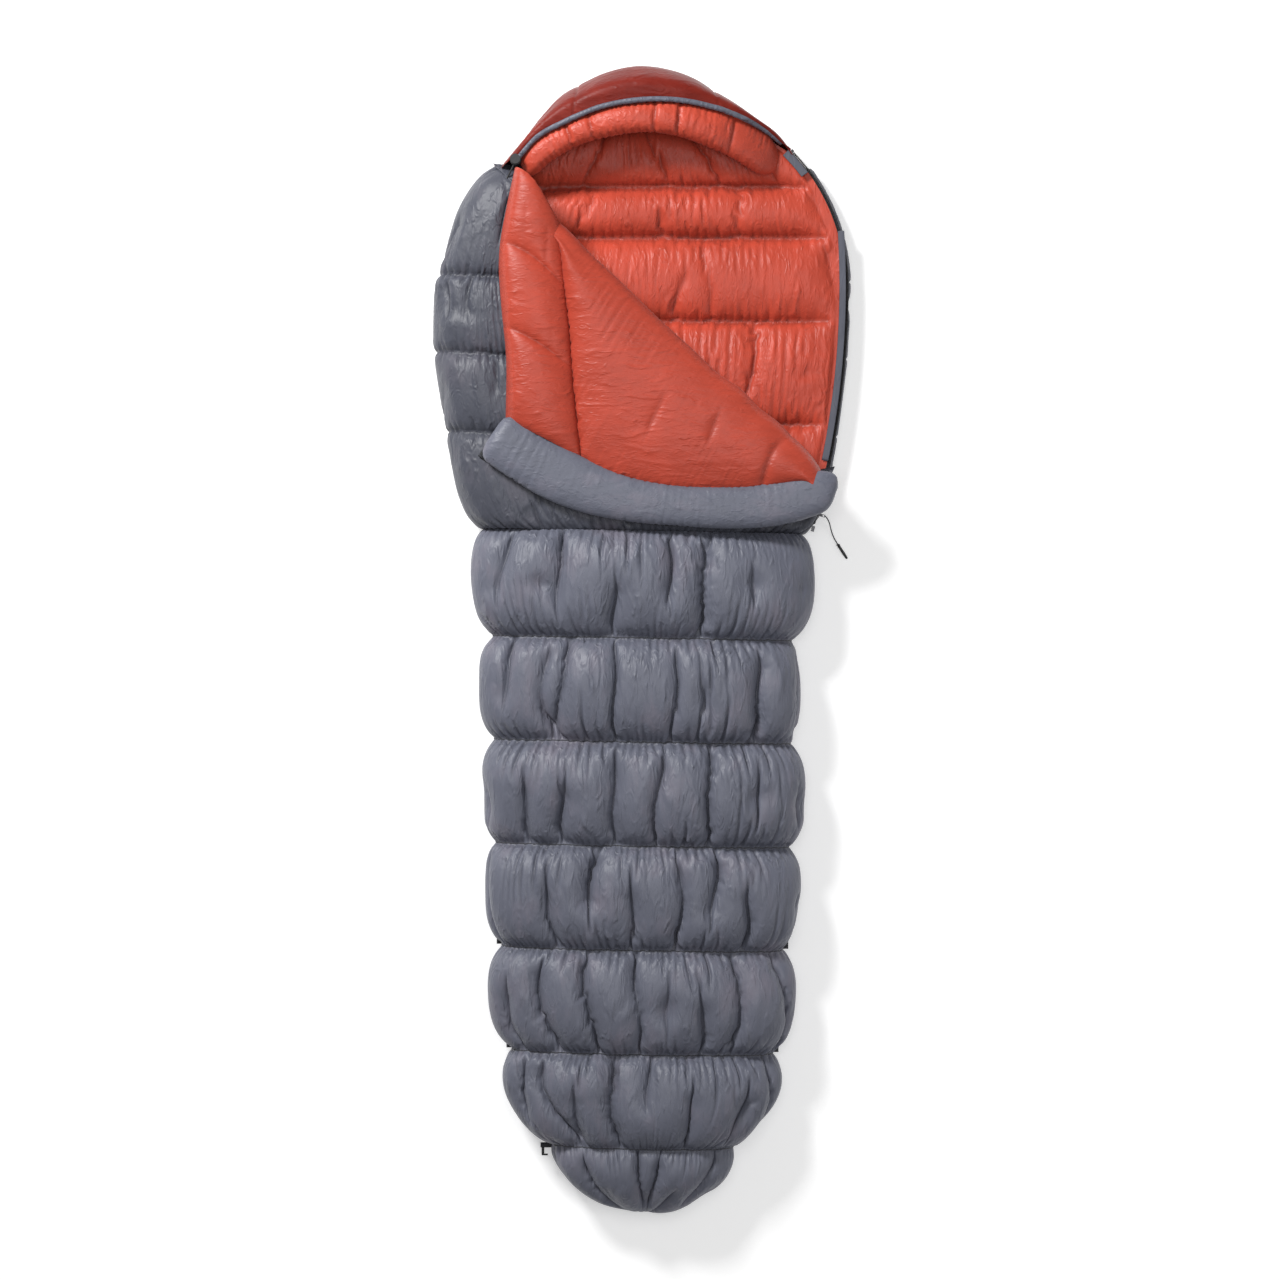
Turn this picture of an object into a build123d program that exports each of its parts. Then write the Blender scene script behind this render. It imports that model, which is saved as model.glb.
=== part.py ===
from build123d import *
import math
import os

os.makedirs("parts", exist_ok=True)

# A mummy sleeping bag that lies on its back on z = 0, with its zip undone down to the waist
# and the loose corner of the front folded over to the left. Millimetres, +Y to the head,
# +X to the zip side, +Z up. Soft parts are plain closed solids at their lofted size.

# Cross seams of the quilt, foot to head, and the half widths of the legs at seams and between
SEAMS = [-932, -760, -570, -380, -190, 0, 190, 380, 560, 740, 862]
LEG_OUTLINE = [
    (-932, 168), (-846, 243), (-760, 238), (-665, 274), (-570, 259), (-475, 283), (-380, 270),
    (-285, 289), (-190, 272), (-95, 292), (0, 274), (95, 308), (190, 292), (216, 320),
]
# Shoulder edges are arcs: (centre x, centre y, radius)
LONG_ARC = (-1237, 650, 1617)
RIGHT_ARC = (24, 650, 356)
LEFT_ARC = (-68, 650, 310)

# Heights and fill thicknesses: (at a seam, between seams)
BACK_TOP = (24, 36)
LEG_FRONT_TOP = (120, 147)
LEG_WALL = (22, 42)
CHEST_FRONT_TOP = (106, 118)
CHEST_WALL = (24, 34)
SKIN = 1.5
LINING = 1.2
TRIM = 0.5
GAP = 1.0
FRONT_BASE = 41

# Fold of the front's loose corner, which is also its hinge axis
FOLD_TOP = (-215, 810)
FOLD_FOOT = (330, 265)
HINGE_Z = 119
FOLD_GAP = 2.5

# Hood: base circle, edge arc through three points, and where its panels meet
HOOD_X, HOOD_Y, HOOD_RADIUS = 12, 748, 303
HOOD_ANGLES = (155, 33)
RIM = [(-217, 883, 120), (15, 978, 150), (246, 928, 62)]
PANELS = {"left": (0, 0.31), "centre": (0.31, 0.74), "right": (0.74, 1)}
WALL_SHARE = 0.19

# Zip
ZIP_Z = 41
TAPE = (14, 1.2)
COIL = (4, 4)
ZIP_TOP_ANGLE = 44
SLIDER_ANGLE = -15.4

nodes = {}


def between(value, table):
    """Straight-line value from a table of (place, value) pairs."""
    for (a, va), (b, vb) in zip(table, table[1:]):
        if value <= b:
            return va + (vb - va) * max(0, value - a) / (b - a)
    return table[-1][1]


def puff(y):
    """0 at a cross seam, 1 halfway between two of them."""
    for low, high in zip(SEAMS, SEAMS[1:]):
        if low <= y <= high:
            return 1 - abs(2 * y - low - high) / (high - low)
    return 0


def at(pair, y):
    """A size at y that goes from its seam value to its full value."""
    return pair[0] + (pair[1] - pair[0]) * puff(y)


def arc_x(arc, y):
    """How far an arc lies from its centre along X at y."""
    return math.sqrt(arc[2] ** 2 - (y - arc[1]) ** 2)


def edges(y):
    """The left and right edges of the bag's body at y."""
    if y <= LEG_OUTLINE[-1][0]:
        half = between(y, LEG_OUTLINE)
        return -half, half
    if y <= LONG_ARC[1]:
        half = LONG_ARC[0] + arc_x(LONG_ARC, y)
        return -half, half
    return LEFT_ARC[0] - arc_x(LEFT_ARC, y), RIGHT_ARC[0] + arc_x(RIGHT_ARC, y)


def floor_edges(y):
    """The edges of the back: the body's, and inside the hood's wall past the last seam."""
    if y <= SEAMS[-1]:
        return edges(y)
    inside = math.sqrt((HOOD_RADIUS - 48) ** 2 - (y - HOOD_Y) ** 2)
    right = edges(y)[1] if y <= 896 else HOOD_X + inside
    return HOOD_X - inside, right


def fold_x(y):
    """The fold line's X at y."""
    slope = (FOLD_FOOT[0] - FOLD_TOP[0]) / (FOLD_TOP[1] - FOLD_FOOT[1])
    return FOLD_TOP[0] + (FOLD_TOP[1] - y) * slope


def shifted(line, distance):
    """An open line moved to the right of its direction, with mitred corners."""
    normals = []
    for (ax, ay), (bx, by) in zip(line, line[1:]):
        length = math.hypot(bx - ax, by - ay)
        normals.append(((by - ay) / length, (ax - bx) / length))
    result = []
    for i, (x, y) in enumerate(line):
        before = normals[max(0, i - 1)]
        after = normals[min(i, len(normals) - 1)]
        share = distance / (1 + before[0] * after[0] + before[1] * after[1])
        result.append((x + (before[0] + after[0]) * share, y + (before[1] + after[1]) * share))
    return result


def layer(line, near, far):
    """The closed outline between a line's copies at two distances from it."""
    return shifted(line, near) + shifted(line, far)[::-1]


def cross(y, outline):
    """A closed XZ outline placed at y."""
    return Wire.make_polygon([Vector(x, y, z) for x, z in outline], close=True)


def lofted(wires):
    """A solid with straight sides through the wires."""
    return Solid.make_loft(wires, ruled=True)


def middles(seams):
    """The seams of a stretch with the point halfway between each two."""
    points = [seams[0]]
    for low, high in zip(seams, seams[1:]):
        points += [(low + high) / 2, high]
    return points


# ---- Back ----

def back_fill_outline(y):
    left, right = floor_edges(y)
    top = at(BACK_TOP, y)
    return [
        (left + 16, 3), (left + 5, 14), (left + 8, 23), (left + 32, top),
        (right - 32, top), (right - 8, 23), (right - 5, 14), (right - 16, 3),
    ]


def back_shell_outline(y):
    """The back shell's section. Its underside is trimmed to the ground afterwards."""
    left, right = floor_edges(y)
    line = [(right - 3, 27), (right, 14), (right - 10, -TRIM)]
    line += [(left + 10, -TRIM), (left, 14), (left + 3, 27)]
    return layer(line, 0, SKIN + TRIM)


def back_lining_outline(y):
    left, right = floor_edges(y)
    top = at(BACK_TOP, y) + GAP + LINING
    line = [(left + 8, 29), (left + 31, top), (right - 31, top), (right - 8, 29)]
    return layer(line, 0, LINING)


BACK_YS = middles(SEAMS)
HEAD_YS = [864, 896, 904, 950, 988]
for number, (low, high) in enumerate(zip(SEAMS, SEAMS[1:]), 1):
    stations = [low + GAP, (low + high) / 2, high - GAP]
    nodes[f"back_fill_{number}"] = lofted([cross(y, back_fill_outline(y)) for y in stations])
head_stations = [cross(y, back_fill_outline(y)) for y in HEAD_YS]
nodes["head_fill"] = lofted(head_stations)
tray = lofted([cross(y, back_shell_outline(y)) for y in BACK_YS + HEAD_YS])
nodes["back_shell"] = tray - Pos(0, 0, -5) * Box(900, 2200, 10)
nodes["back_lining"] = lofted([cross(y, back_lining_outline(y)) for y in BACK_YS + HEAD_YS])


# ---- Front ----

def front_line(y, chest):
    """The front's outer surface from its left seam up and over, as (x, z) points."""
    left, right = edges(y)
    base = FRONT_BASE
    top = at(CHEST_FRONT_TOP if chest else LEG_FRONT_TOP, y)
    rise = top - base
    if chest:
        end = min(fold_x(y) - FOLD_GAP, right - 12)
        start = left + 56
        line = [(left, base), (left, base + 0.35 * rise), (left + 24, base + 0.8 * rise)]
        return line + [(start + (end - start) * i / 5, top) for i in range(6)]
    side = [(left, base), (left, base + 0.35 * rise), (0.88 * left, base + 0.76 * rise)]
    over = [(0.5 * left, base + 0.95 * rise), (0, top), (0.5 * right, base + 0.95 * rise)]
    return side + over + [(-x, z) for x, z in side[::-1]]


def front_section(y, near, far, chest):
    """The front between two depths below its outer surface. Depths past 2 count the wall."""
    wall = at(CHEST_WALL if chest else LEG_WALL, y)
    depths = [d if d < 3 else d - 3 + wall for d in (near, far)]
    return cross(y, layer(front_line(y, chest), *depths))


FILL = (SKIN + GAP, 3 + SKIN + GAP)
INNER = (3 + SKIN + 2 * GAP, 3 + SKIN + 2 * GAP + LINING)
LEG_YS = middles(SEAMS[:7])
CHEST_CHAMBERS = [(202, 268, 380), (380, 470, 560), (560, 650, 740), (740, 790, 824)]
CHEST_YS = [202] + [y for chamber in CHEST_CHAMBERS for y in chamber[1:]]

for number, (low, high) in enumerate(zip(SEAMS[:6], SEAMS[1:7]), 1):
    stations = [low + GAP, (low + high) / 2, high - GAP]
    nodes[f"front_fill_{number}"] = lofted([front_section(y, *FILL, False) for y in stations])
for number, (low, middle, high) in enumerate(CHEST_CHAMBERS, 7):
    stations = [low + GAP, middle, high - GAP]
    nodes[f"front_fill_{number}"] = lofted([front_section(y, *FILL, True) for y in stations])
for name, depths in {"front_shell": (0, SKIN), "front_lining": INNER}.items():
    wires = [front_section(y, *depths, False) for y in LEG_YS]
    wires += [front_section(y, *depths, True) for y in CHEST_YS]
    nodes[name] = lofted(wires)


def seam_elastic(y):
    """The gathered band over one cross seam of the legs."""
    outline = layer(front_line(y, False), -2.6, -1.2)
    wires = [Wire.make_polygon([Vector(x, y + s, z) for x, z in outline], close=True) for s in (-2, 2)]
    return lofted(wires)


nodes["seam_elastics"] = Compound([seam_elastic(y) for y in SEAMS[1:6]])


# ---- Footbox ----

FOOT_STATIONS = [(-933, 167, 0, 122), (-971, 155, 0, 128), (-1008, 124, 3, 116),
                 (-1036, 80, 14, 96), (-1051, 34, 34, 74)]


def foot_wire(y, half, low, high, inset):
    half, low, high = half - inset, low + inset, high - inset
    rise = high - low
    side = [(0.86 * half, low), (half, low + 0.28 * rise), (half, low + 0.64 * rise), (0.76 * half, high)]
    return cross(y, [(-x, z) for x, z in side] + side[::-1])


def foot_pod(inset, mouth, toe):
    """The footbox's shape, drawn in by inset, with its mouth and toe faces moved."""
    stations = [list(s) for s in FOOT_STATIONS]
    stations[0][0] += mouth
    stations[-1][0] += toe
    return lofted([foot_wire(*s, inset) for s in stations])


nodes["footbox_shell"] = foot_pod(0, 0, 0) - foot_pod(SKIN, 1, SKIN)
nodes["footbox_fill"] = foot_pod(SKIN + 2.5, -3, SKIN + 2.5)


# ---- Hood ----

rim = Edge.make_three_point_arc(*[Vector(*p) for p in RIM])


def hood_wire(share, near, far):
    """The hood wall's section at a share of the way round, between two depths."""
    angle = math.radians(HOOD_ANGLES[0] + (HOOD_ANGLES[1] - HOOD_ANGLES[0]) * share)
    base = Vector(HOOD_X + HOOD_RADIUS * math.cos(angle), HOOD_Y + HOOD_RADIUS * math.sin(angle), 0)
    edge = rim @ share
    inward = Vector(edge.X - base.X, edge.Y - base.Y, 0)
    reach, rise = inward.length, edge.Z
    inward = inward.normalized()
    line = [(0.12 * reach, 0.5), (-1, 0.25 * rise), (0.06 * reach, 0.6 * rise),
            (0.42 * reach, 0.84 * rise), (reach - 7.5, rise - 15.5)]
    wall = WALL_SHARE * rise
    depths = [d if d < 3 else d - 3 + wall for d in (near, far)]
    points = [base + inward * u + Vector(0, 0, z) for u, z in layer(line, *depths)]
    return Wire.make_polygon(points, close=True)


def panel_shares(side):
    """Shares of the hood's way round where one panel's sections stand."""
    start, end = PANELS[side]
    return [start + 0.003 + (end - start - 0.006) * i / 4 for i in range(5)]


for side in PANELS:
    shares = panel_shares(side)
    nodes[f"hood_shell_{side}"] = lofted([hood_wire(share, 0, SKIN) for share in shares])
    nodes[f"hood_fill_{side}"] = lofted([hood_wire(share, *FILL) for share in shares])
all_shares = [share for side in PANELS for share in panel_shares(side)]
nodes["hood_lining"] = lofted([hood_wire(share, *INNER) for share in all_shares])


def along(path, section, start=0.0):
    """A section swept along a path, standing square to its start."""
    plane = Plane(origin=path @ start, z_dir=path % start)
    return sweep(plane * section, path=path)


BINDING_RADIUS, CHANNEL_RADIUS, CORD_RADIUS = 5, 2.6, 1.6
lead = (rim % 0) * -34
cord_path = Wire([Edge.make_line((rim @ 0) + lead, rim @ 0), rim])
nodes["hood_binding"] = along(rim, Circle(BINDING_RADIUS) - Circle(CHANNEL_RADIUS))
nodes["hood_drawcord"] = along(cord_path, Circle(CORD_RADIUS))

COLLAR = [(-176, 880, 97), (5, 918, 110), (192, 893, 62)]
COLLAR_RADIUS = 18
collar_path = Edge.make_three_point_arc(*[Vector(*p) for p in COLLAR])
nodes["draft_collar"] = along(collar_path, Circle(COLLAR_RADIUS))

# Cord lock: a barrel on the drawcord's end with a sprung push button in its top
LOCK_RADIUS, LOCK_BORE, BUTTON_RADIUS, BUTTON_TRAVEL = 10, 6.6, 6.2, 4
lock = (rim @ 0) + (rim % 0) * -20
cord_hole = Plane(origin=lock, z_dir=rim % 0) * Cylinder(2.6, 60)


def upright(radius, low, high):
    """A cylinder about the cord lock's own axis, between two heights from the cord."""
    return Pos(lock.X, lock.Y, lock.Z + (low + high) / 2) * Cylinder(radius, high - low)


nodes["cord_lock_body"] = upright(LOCK_RADIUS, -15, 10) - upright(LOCK_BORE, -13, 11) - cord_hole
button = upright(BUTTON_RADIUS, -7, 15) + upright(LOCK_RADIUS - 1, 14.5, 18)
for lift in range(BUTTON_TRAVEL + 1):
    button -= Pos(0, 0, lift) * cord_hole
nodes["cord_lock_button"] = button
coil_line = Edge.make_helix(pitch=1.9, height=4.9, radius=4.6)
coil_start = Plane(origin=coil_line @ 0, z_dir=coil_line % 0)
spring = sweep(coil_start * Circle(0.4), path=coil_line, is_frenet=True)
nodes["cord_lock_spring"] = Pos(lock.X, lock.Y, lock.Z - 12.5) * spring


# ---- Zip, bag side ----

def arc_point(arc, angle, z=ZIP_Z):
    turn = math.radians(angle)
    return Vector(arc[0] + arc[2] * math.cos(turn), arc[1] + arc[2] * math.sin(turn), z)


def arc_edge(arc, first, last, z=ZIP_Z):
    return Edge.make_three_point_arc(*[arc_point(arc, a, z) for a in (first, (first + last) / 2, last)])


def beside(path, width, height, inward, up):
    """A flat strip along the zip track: how far in from the track and how far up."""
    plane = Plane(origin=path @ 0, x_dir=Vector(0, 0, 1).cross(path % 0), z_dir=path % 0)
    # x_dir points to the left of the way up, which is into the bag
    return sweep(plane * Pos(inward + width / 2, -up) * Rectangle(width, height), path=path)


track = Wire([arc_edge(LONG_ARC, SLIDER_ANGLE - 0.5, 0), arc_edge(RIGHT_ARC, 0, ZIP_TOP_ANGLE)])
nodes["zip_coil_back"] = beside(track, *COIL, 0, 0)
nodes["zip_tape_back"] = beside(track, *TAPE, COIL[0] + 0.2, 0)
lower_facing = beside(arc_edge(LONG_ARC, -11.5, 3.6), 11, 1, 10.2, -3.6)
upper_facing = beside(arc_edge(RIGHT_ARC, 34, 42), 15, 1, 10.2, -3.6)
nodes["zip_facings"] = Compound([lower_facing.solid(), upper_facing.solid()])
bottom_stop = beside(arc_edge(LONG_ARC, SLIDER_ANGLE - 0.9, SLIDER_ANGLE - 0.53), 6, 5, -1, 0)
top_stop = beside(arc_edge(RIGHT_ARC, ZIP_TOP_ANGLE + 0.1, ZIP_TOP_ANGLE + 1), 6, 5, -1, 0)
nodes["zip_stops"] = Compound([bottom_stop.solid(), top_stop.solid()])

# ---- Slider and pull ----

SLIDER_LENGTH = 12
first = SLIDER_ANGLE + 0.05
slider_path = arc_edge(LONG_ARC, first, first + math.degrees(SLIDER_LENGTH / LONG_ARC[2]))
slider = beside(slider_path, 12, 1.8, -2.6, -3.4) + beside(slider_path, 12, 1.8, -2.6, 3.4)
slider += beside(slider_path, 2, 8.4, -2.6, 0)
middle = slider_path @ 0.5
forward = slider_path % 0.5
outward = forward.cross(Vector(0, 0, 1))
pin_at = middle + outward * -1 + Vector(0, 0, 7.6)
pin_axis = Vector(forward.X, forward.Y, 0)
for end in (-3.6, 3.6):
    foot = Plane(origin=pin_at + pin_axis * end, x_dir=Vector(0, 0, 1), z_dir=pin_axis)
    slider += foot * Pos(-1.8, 0) * Box(5, 2, 1.6)
nodes["slider_body"] = slider + Plane(origin=pin_at, z_dir=pin_axis) * Cylinder(1, 8.6)


def pull_point(out, along_bag, up):
    """A point of the pull: out from the pin, back along the bag, and its height."""
    p = pin_at + outward * out - pin_axis * along_bag
    return Vector(p.X, p.Y, up)


# The pull hangs over the bag's edge: straight out from the pin, then down to the ground
eye_at = Plane(origin=pin_at, x_dir=outward, z_dir=pin_axis)
eye = eye_at * (Cylinder(2.6, 5.2) - Cylinder(1.35, 5.2))
arm = eye_at * Pos(8.2, 0) * Box(12, 1.6, 5.2)
ring_hole = Plane(origin=pin_at + outward * 11, z_dir=Vector(0, 0, 1)) * Cylinder(1.6, 6)
nodes["slider_tab"] = eye + arm - ring_hole
PULL_ROUTE = [
    (15, 0, 48.6), (20, 3, 44), (26, 9, 34), (31, 17, 22), (37, 26, 12), (45, 35, 6), (54, 43, 4.6),
]
pull_points = [pull_point(*p) for p in PULL_ROUTE]
PULL_RADIUS = 1.1


def corner_radii(points):
    """Each corner's radius: as large as its two runs allow."""
    radii = []
    for a, b, c in zip(points, points[1:], points[2:]):
        turn = math.radians((b - a).get_angle(c - b))
        radii.append(0.45 * min((b - a).length, (c - b).length) / math.tan(turn / 2))
    return radii


pull_radii = corner_radii(pull_points)
print("pull cord radii", [round(r, 1) for r in pull_radii])
pull_path = FilletPolyline(*pull_points, radius=pull_radii)
nodes["pull_cord"] = along(pull_path.wire(), Circle(PULL_RADIUS))
last_run = pull_points[-1] - pull_points[-2]
grip_way = Vector(last_run.X, last_run.Y, 0).normalized()
GRIP_LENGTH = 30
grip_middle = pull_points[-1] + grip_way * (GRIP_LENGTH / 2 + 0.3)
nodes["pull_grip"] = Plane(origin=grip_middle, z_dir=grip_way) * Cylinder(2.6, GRIP_LENGTH)


# ---- Flap: the loose corner of the front, folded over ----

NECK_TOP, NECK_MIDDLE = (-231, 822), (-263, 650)
CORNER = (-248, 409)
SEAM_MIDDLE, SEAM_END = (36, 277), (290, 301)
BAND_CORNER, BAND_MIDDLE, BAND_END = (-300, 331), (0, 208), (318, 249)
FLAP_SEAMS = [-280, -143, 36, 330]
FLAP_Z = HINGE_Z + 1.5


def flap_face():
    """The folded corner's lining: neck edge, zip-side seam and fold."""
    lines = [ThreePointArc(NECK_TOP, NECK_MIDDLE, CORNER), ThreePointArc(CORNER, SEAM_MIDDLE, SEAM_END)]
    return make_face(Curve() + lines + [Line(SEAM_END, NECK_TOP)])


def raised(face, low, high, taper=0):
    """A plan face as a solid between two heights."""
    return Pos(0, 0, low) * extrude(face, high - low, taper=taper)


nodes["flap_shell"] = raised(flap_face(), FLAP_Z, FLAP_Z + SKIN)
nodes["flap_lining"] = raised(flap_face(), FLAP_Z + 25, FLAP_Z + 25 + LINING)
for number, (low, high) in enumerate(zip(FLAP_SEAMS, FLAP_SEAMS[1:]), 1):
    slab = Pos((low + high) / 2, 500, 0) * Rectangle(high - low - 2 * GAP, 1200)
    fill = raised(flap_face() & slab, FLAP_Z + SKIN + GAP, FLAP_Z + 24, 25)
    nodes[f"flap_fill_{number}"] = fill
collar_slab = Pos(-240, 600, 0) * Rectangle(190, 1200)
nodes["flap_collar"] = raised(flap_face() & collar_slab, FLAP_Z + 27.2, FLAP_Z + 38, 30)

outer_arc = ThreePointArc(BAND_CORNER, BAND_MIDDLE, BAND_END)
inner_arc = ThreePointArc((CORNER[0] + 1, CORNER[1] - 2), (SEAM_MIDDLE[0], SEAM_MIDDLE[1] - 2),
                          (SEAM_END[0], SEAM_END[1] - 2))
ends = [Line(inner_arc @ 0, BAND_CORNER), Line(BAND_END, inner_arc @ 1)]
band_face = make_face(Curve() + [outer_arc, inner_arc] + ends)
nodes["zip_draft_tube"] = raised(band_face, FLAP_Z + 4, FLAP_Z + 20, 25)
front_track = outer_arc.edge().moved(Location((0, 0, FLAP_Z + 1)))
nodes["zip_coil_front"] = beside(front_track, *COIL[:1], 2.4, 0.5, 0)
nodes["zip_tape_front"] = beside(front_track, TAPE[0], 1, COIL[0] + 0.7, 0)


# ---- Webbing ----

def loop_at(y, side):
    """A folded webbing loop that stands out of the side seam."""
    x = edges(y)[1] * side
    block = Pos(x + side * 4, y, 35) * Box(9, 19, 5)
    return block - Pos(x + side * 5, y, 35) * Box(6, 30, 2)


LOOP_YS = (-560, -751)
HOOK_X, HOOK_Y, HOOK_Z = -184, -936, 34
hook_place = Pos(HOOK_X, HOOK_Y, HOOK_Z)
hook_tab = hook_place * (Pos(4, 0, 4) * Box(18, 9, 1.5) + Pos(0, 0, 0.5) * Cylinder(1, 7))
hook = Cylinder(2.6, 3) + Pos(0, -10, 0) * Box(5, 18, 3) + Pos(3.5, -18.5, 0) * Box(11, 3, 3)
nodes["foot_hook"] = hook_place * (hook - Cylinder(1.4, 10))
loops = [loop_at(y, side).solid() for y in LOOP_YS for side in (-1, 1)]
nodes["length_loops"] = Compound(loops + [hook_tab.solid()])

print("slider pin", [round(v, 3) for v in (*pin_at, *pin_axis)])
print("lock", [round(v, 3) for v in lock])

for name, shape in nodes.items():
    export_step(shape, f"parts/{name}.step")
print(len(nodes), "nodes", round(sum(s.volume for s in nodes.values()) / 1e9, 4), "m3")
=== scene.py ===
import math
import bpy
import numpy as np
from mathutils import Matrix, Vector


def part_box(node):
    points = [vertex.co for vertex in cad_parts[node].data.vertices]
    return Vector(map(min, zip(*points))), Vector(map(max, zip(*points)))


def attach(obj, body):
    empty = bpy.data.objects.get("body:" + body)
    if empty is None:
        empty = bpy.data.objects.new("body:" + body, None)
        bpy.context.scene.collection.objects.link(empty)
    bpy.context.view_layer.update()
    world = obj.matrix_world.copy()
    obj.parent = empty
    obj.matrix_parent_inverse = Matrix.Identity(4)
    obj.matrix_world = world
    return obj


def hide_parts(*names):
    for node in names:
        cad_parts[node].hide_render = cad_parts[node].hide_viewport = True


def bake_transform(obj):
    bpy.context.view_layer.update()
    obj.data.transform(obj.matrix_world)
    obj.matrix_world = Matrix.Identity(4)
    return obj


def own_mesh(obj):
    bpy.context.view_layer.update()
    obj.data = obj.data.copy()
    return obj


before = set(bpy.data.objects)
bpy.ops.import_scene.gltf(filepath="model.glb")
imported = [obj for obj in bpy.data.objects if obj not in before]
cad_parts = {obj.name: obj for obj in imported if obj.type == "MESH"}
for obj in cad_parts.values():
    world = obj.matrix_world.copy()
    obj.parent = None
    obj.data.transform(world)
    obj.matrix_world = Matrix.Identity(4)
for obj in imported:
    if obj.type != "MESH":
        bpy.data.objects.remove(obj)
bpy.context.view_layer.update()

# A mummy sleeping bag seen from straight above, head up, its zip open to the waist and the loose
# corner of the front folded over to the left. Metres, in the CAD model's frame.


# ---------------------------------------------------------------- camera, light and floor

def add(name, data):
    obj = bpy.data.objects.new(name, data)
    bpy.context.scene.collection.objects.link(obj)
    return obj


CAMERA_CENTRE = (-0.00465, -0.0037)
CAMERA_HEIGHT = 5.62
camera = add("camera", bpy.data.cameras.new("camera"))
camera.data.lens = 85
camera.data.sensor_width = 36
camera.location = (*CAMERA_CENTRE, CAMERA_HEIGHT)
bpy.context.scene.camera = camera


def area_light(name, place, aim, size, power):
    lamp = add(name, bpy.data.lights.new(name, "AREA"))
    lamp.data.shape = "RECTANGLE"
    lamp.data.size, lamp.data.size_y = size
    lamp.data.energy = power
    lamp.location = place
    way = np.array(aim) - np.array(place)
    flat = math.hypot(way[0], way[1])
    lamp.rotation_euler = (math.atan2(flat, -way[2]), 0, math.atan2(way[1], way[0]) - math.pi / 2)
    return lamp


area_light("key", (-1.9, 2.5, 2.5), (0, 0, 0), (0.9, 0.7), 165)
area_light("top", (0.3, 0.5, 4.8), (0, 0, 0), (2.4, 2.4), 68)
area_light("side", (2.7, -1.2, 1.9), (0, 0, 0), (1.6, 2.4), 16)
world = bpy.data.worlds.new("studio")
bpy.context.scene.world = world
world.use_nodes = True
world.node_tree.nodes["Background"].inputs["Color"].default_value = (1, 1, 1, 1)
world.node_tree.nodes["Background"].inputs["Strength"].default_value = 0.20
bpy.context.scene.view_settings.view_transform = "Standard"


# ---------------------------------------------------------------- cloth solver

UP = np.array([0, 0, 1.0])

# The cloth: how low it may lie, how much of its speed it keeps, how often its threads are pulled
# to length in a step, and how stiffly it bends and shears
LOWEST_CLOTH = 0.0006
KEPT_SPEED = 0.86
PULL_ROUNDS = 3
BEND = 0.25
SHEAR_STRETCH, SHEAR_SQUEEZE = 0.35, 0.25


def unit(v):
    return v / np.maximum(np.linalg.norm(v, axis=-1, keepdims=True), 1e-9)


def normals(x, wrap):
    """Unit normals of a grid, rows first, pointing to the side the columns turn right-handed about."""
    if wrap:
        across = np.roll(x, -1, 1) - np.roll(x, 1, 1)
    else:
        across = np.gradient(x, axis=1)
    return unit(np.cross(across, np.gradient(x, axis=0)))


def pull_pairs(a, b, rest, stretch, squeeze):
    """Moves the points at a and b, two views of one grid, towards their rest distance."""
    d = b - a
    length = np.sqrt((d * d).sum(-1)) + 1e-9
    error = (length - rest) / length
    share = np.where(error > 0, 0.5 * stretch, 0.5 * squeeze) * error
    d *= share[..., None]
    a += d
    b -= d


def lengths(x, rows, columns):
    """Distances from each point to the one so many rows and columns on."""
    far = x[rows:, columns:] if columns >= 0 else x[rows:, :columns]
    near = x[:x.shape[0] - rows, :x.shape[1] - columns] if columns >= 0 else x[:x.shape[0] - rows,
                                                                               -columns:]
    return np.linalg.norm(far - near, axis=-1)


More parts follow.
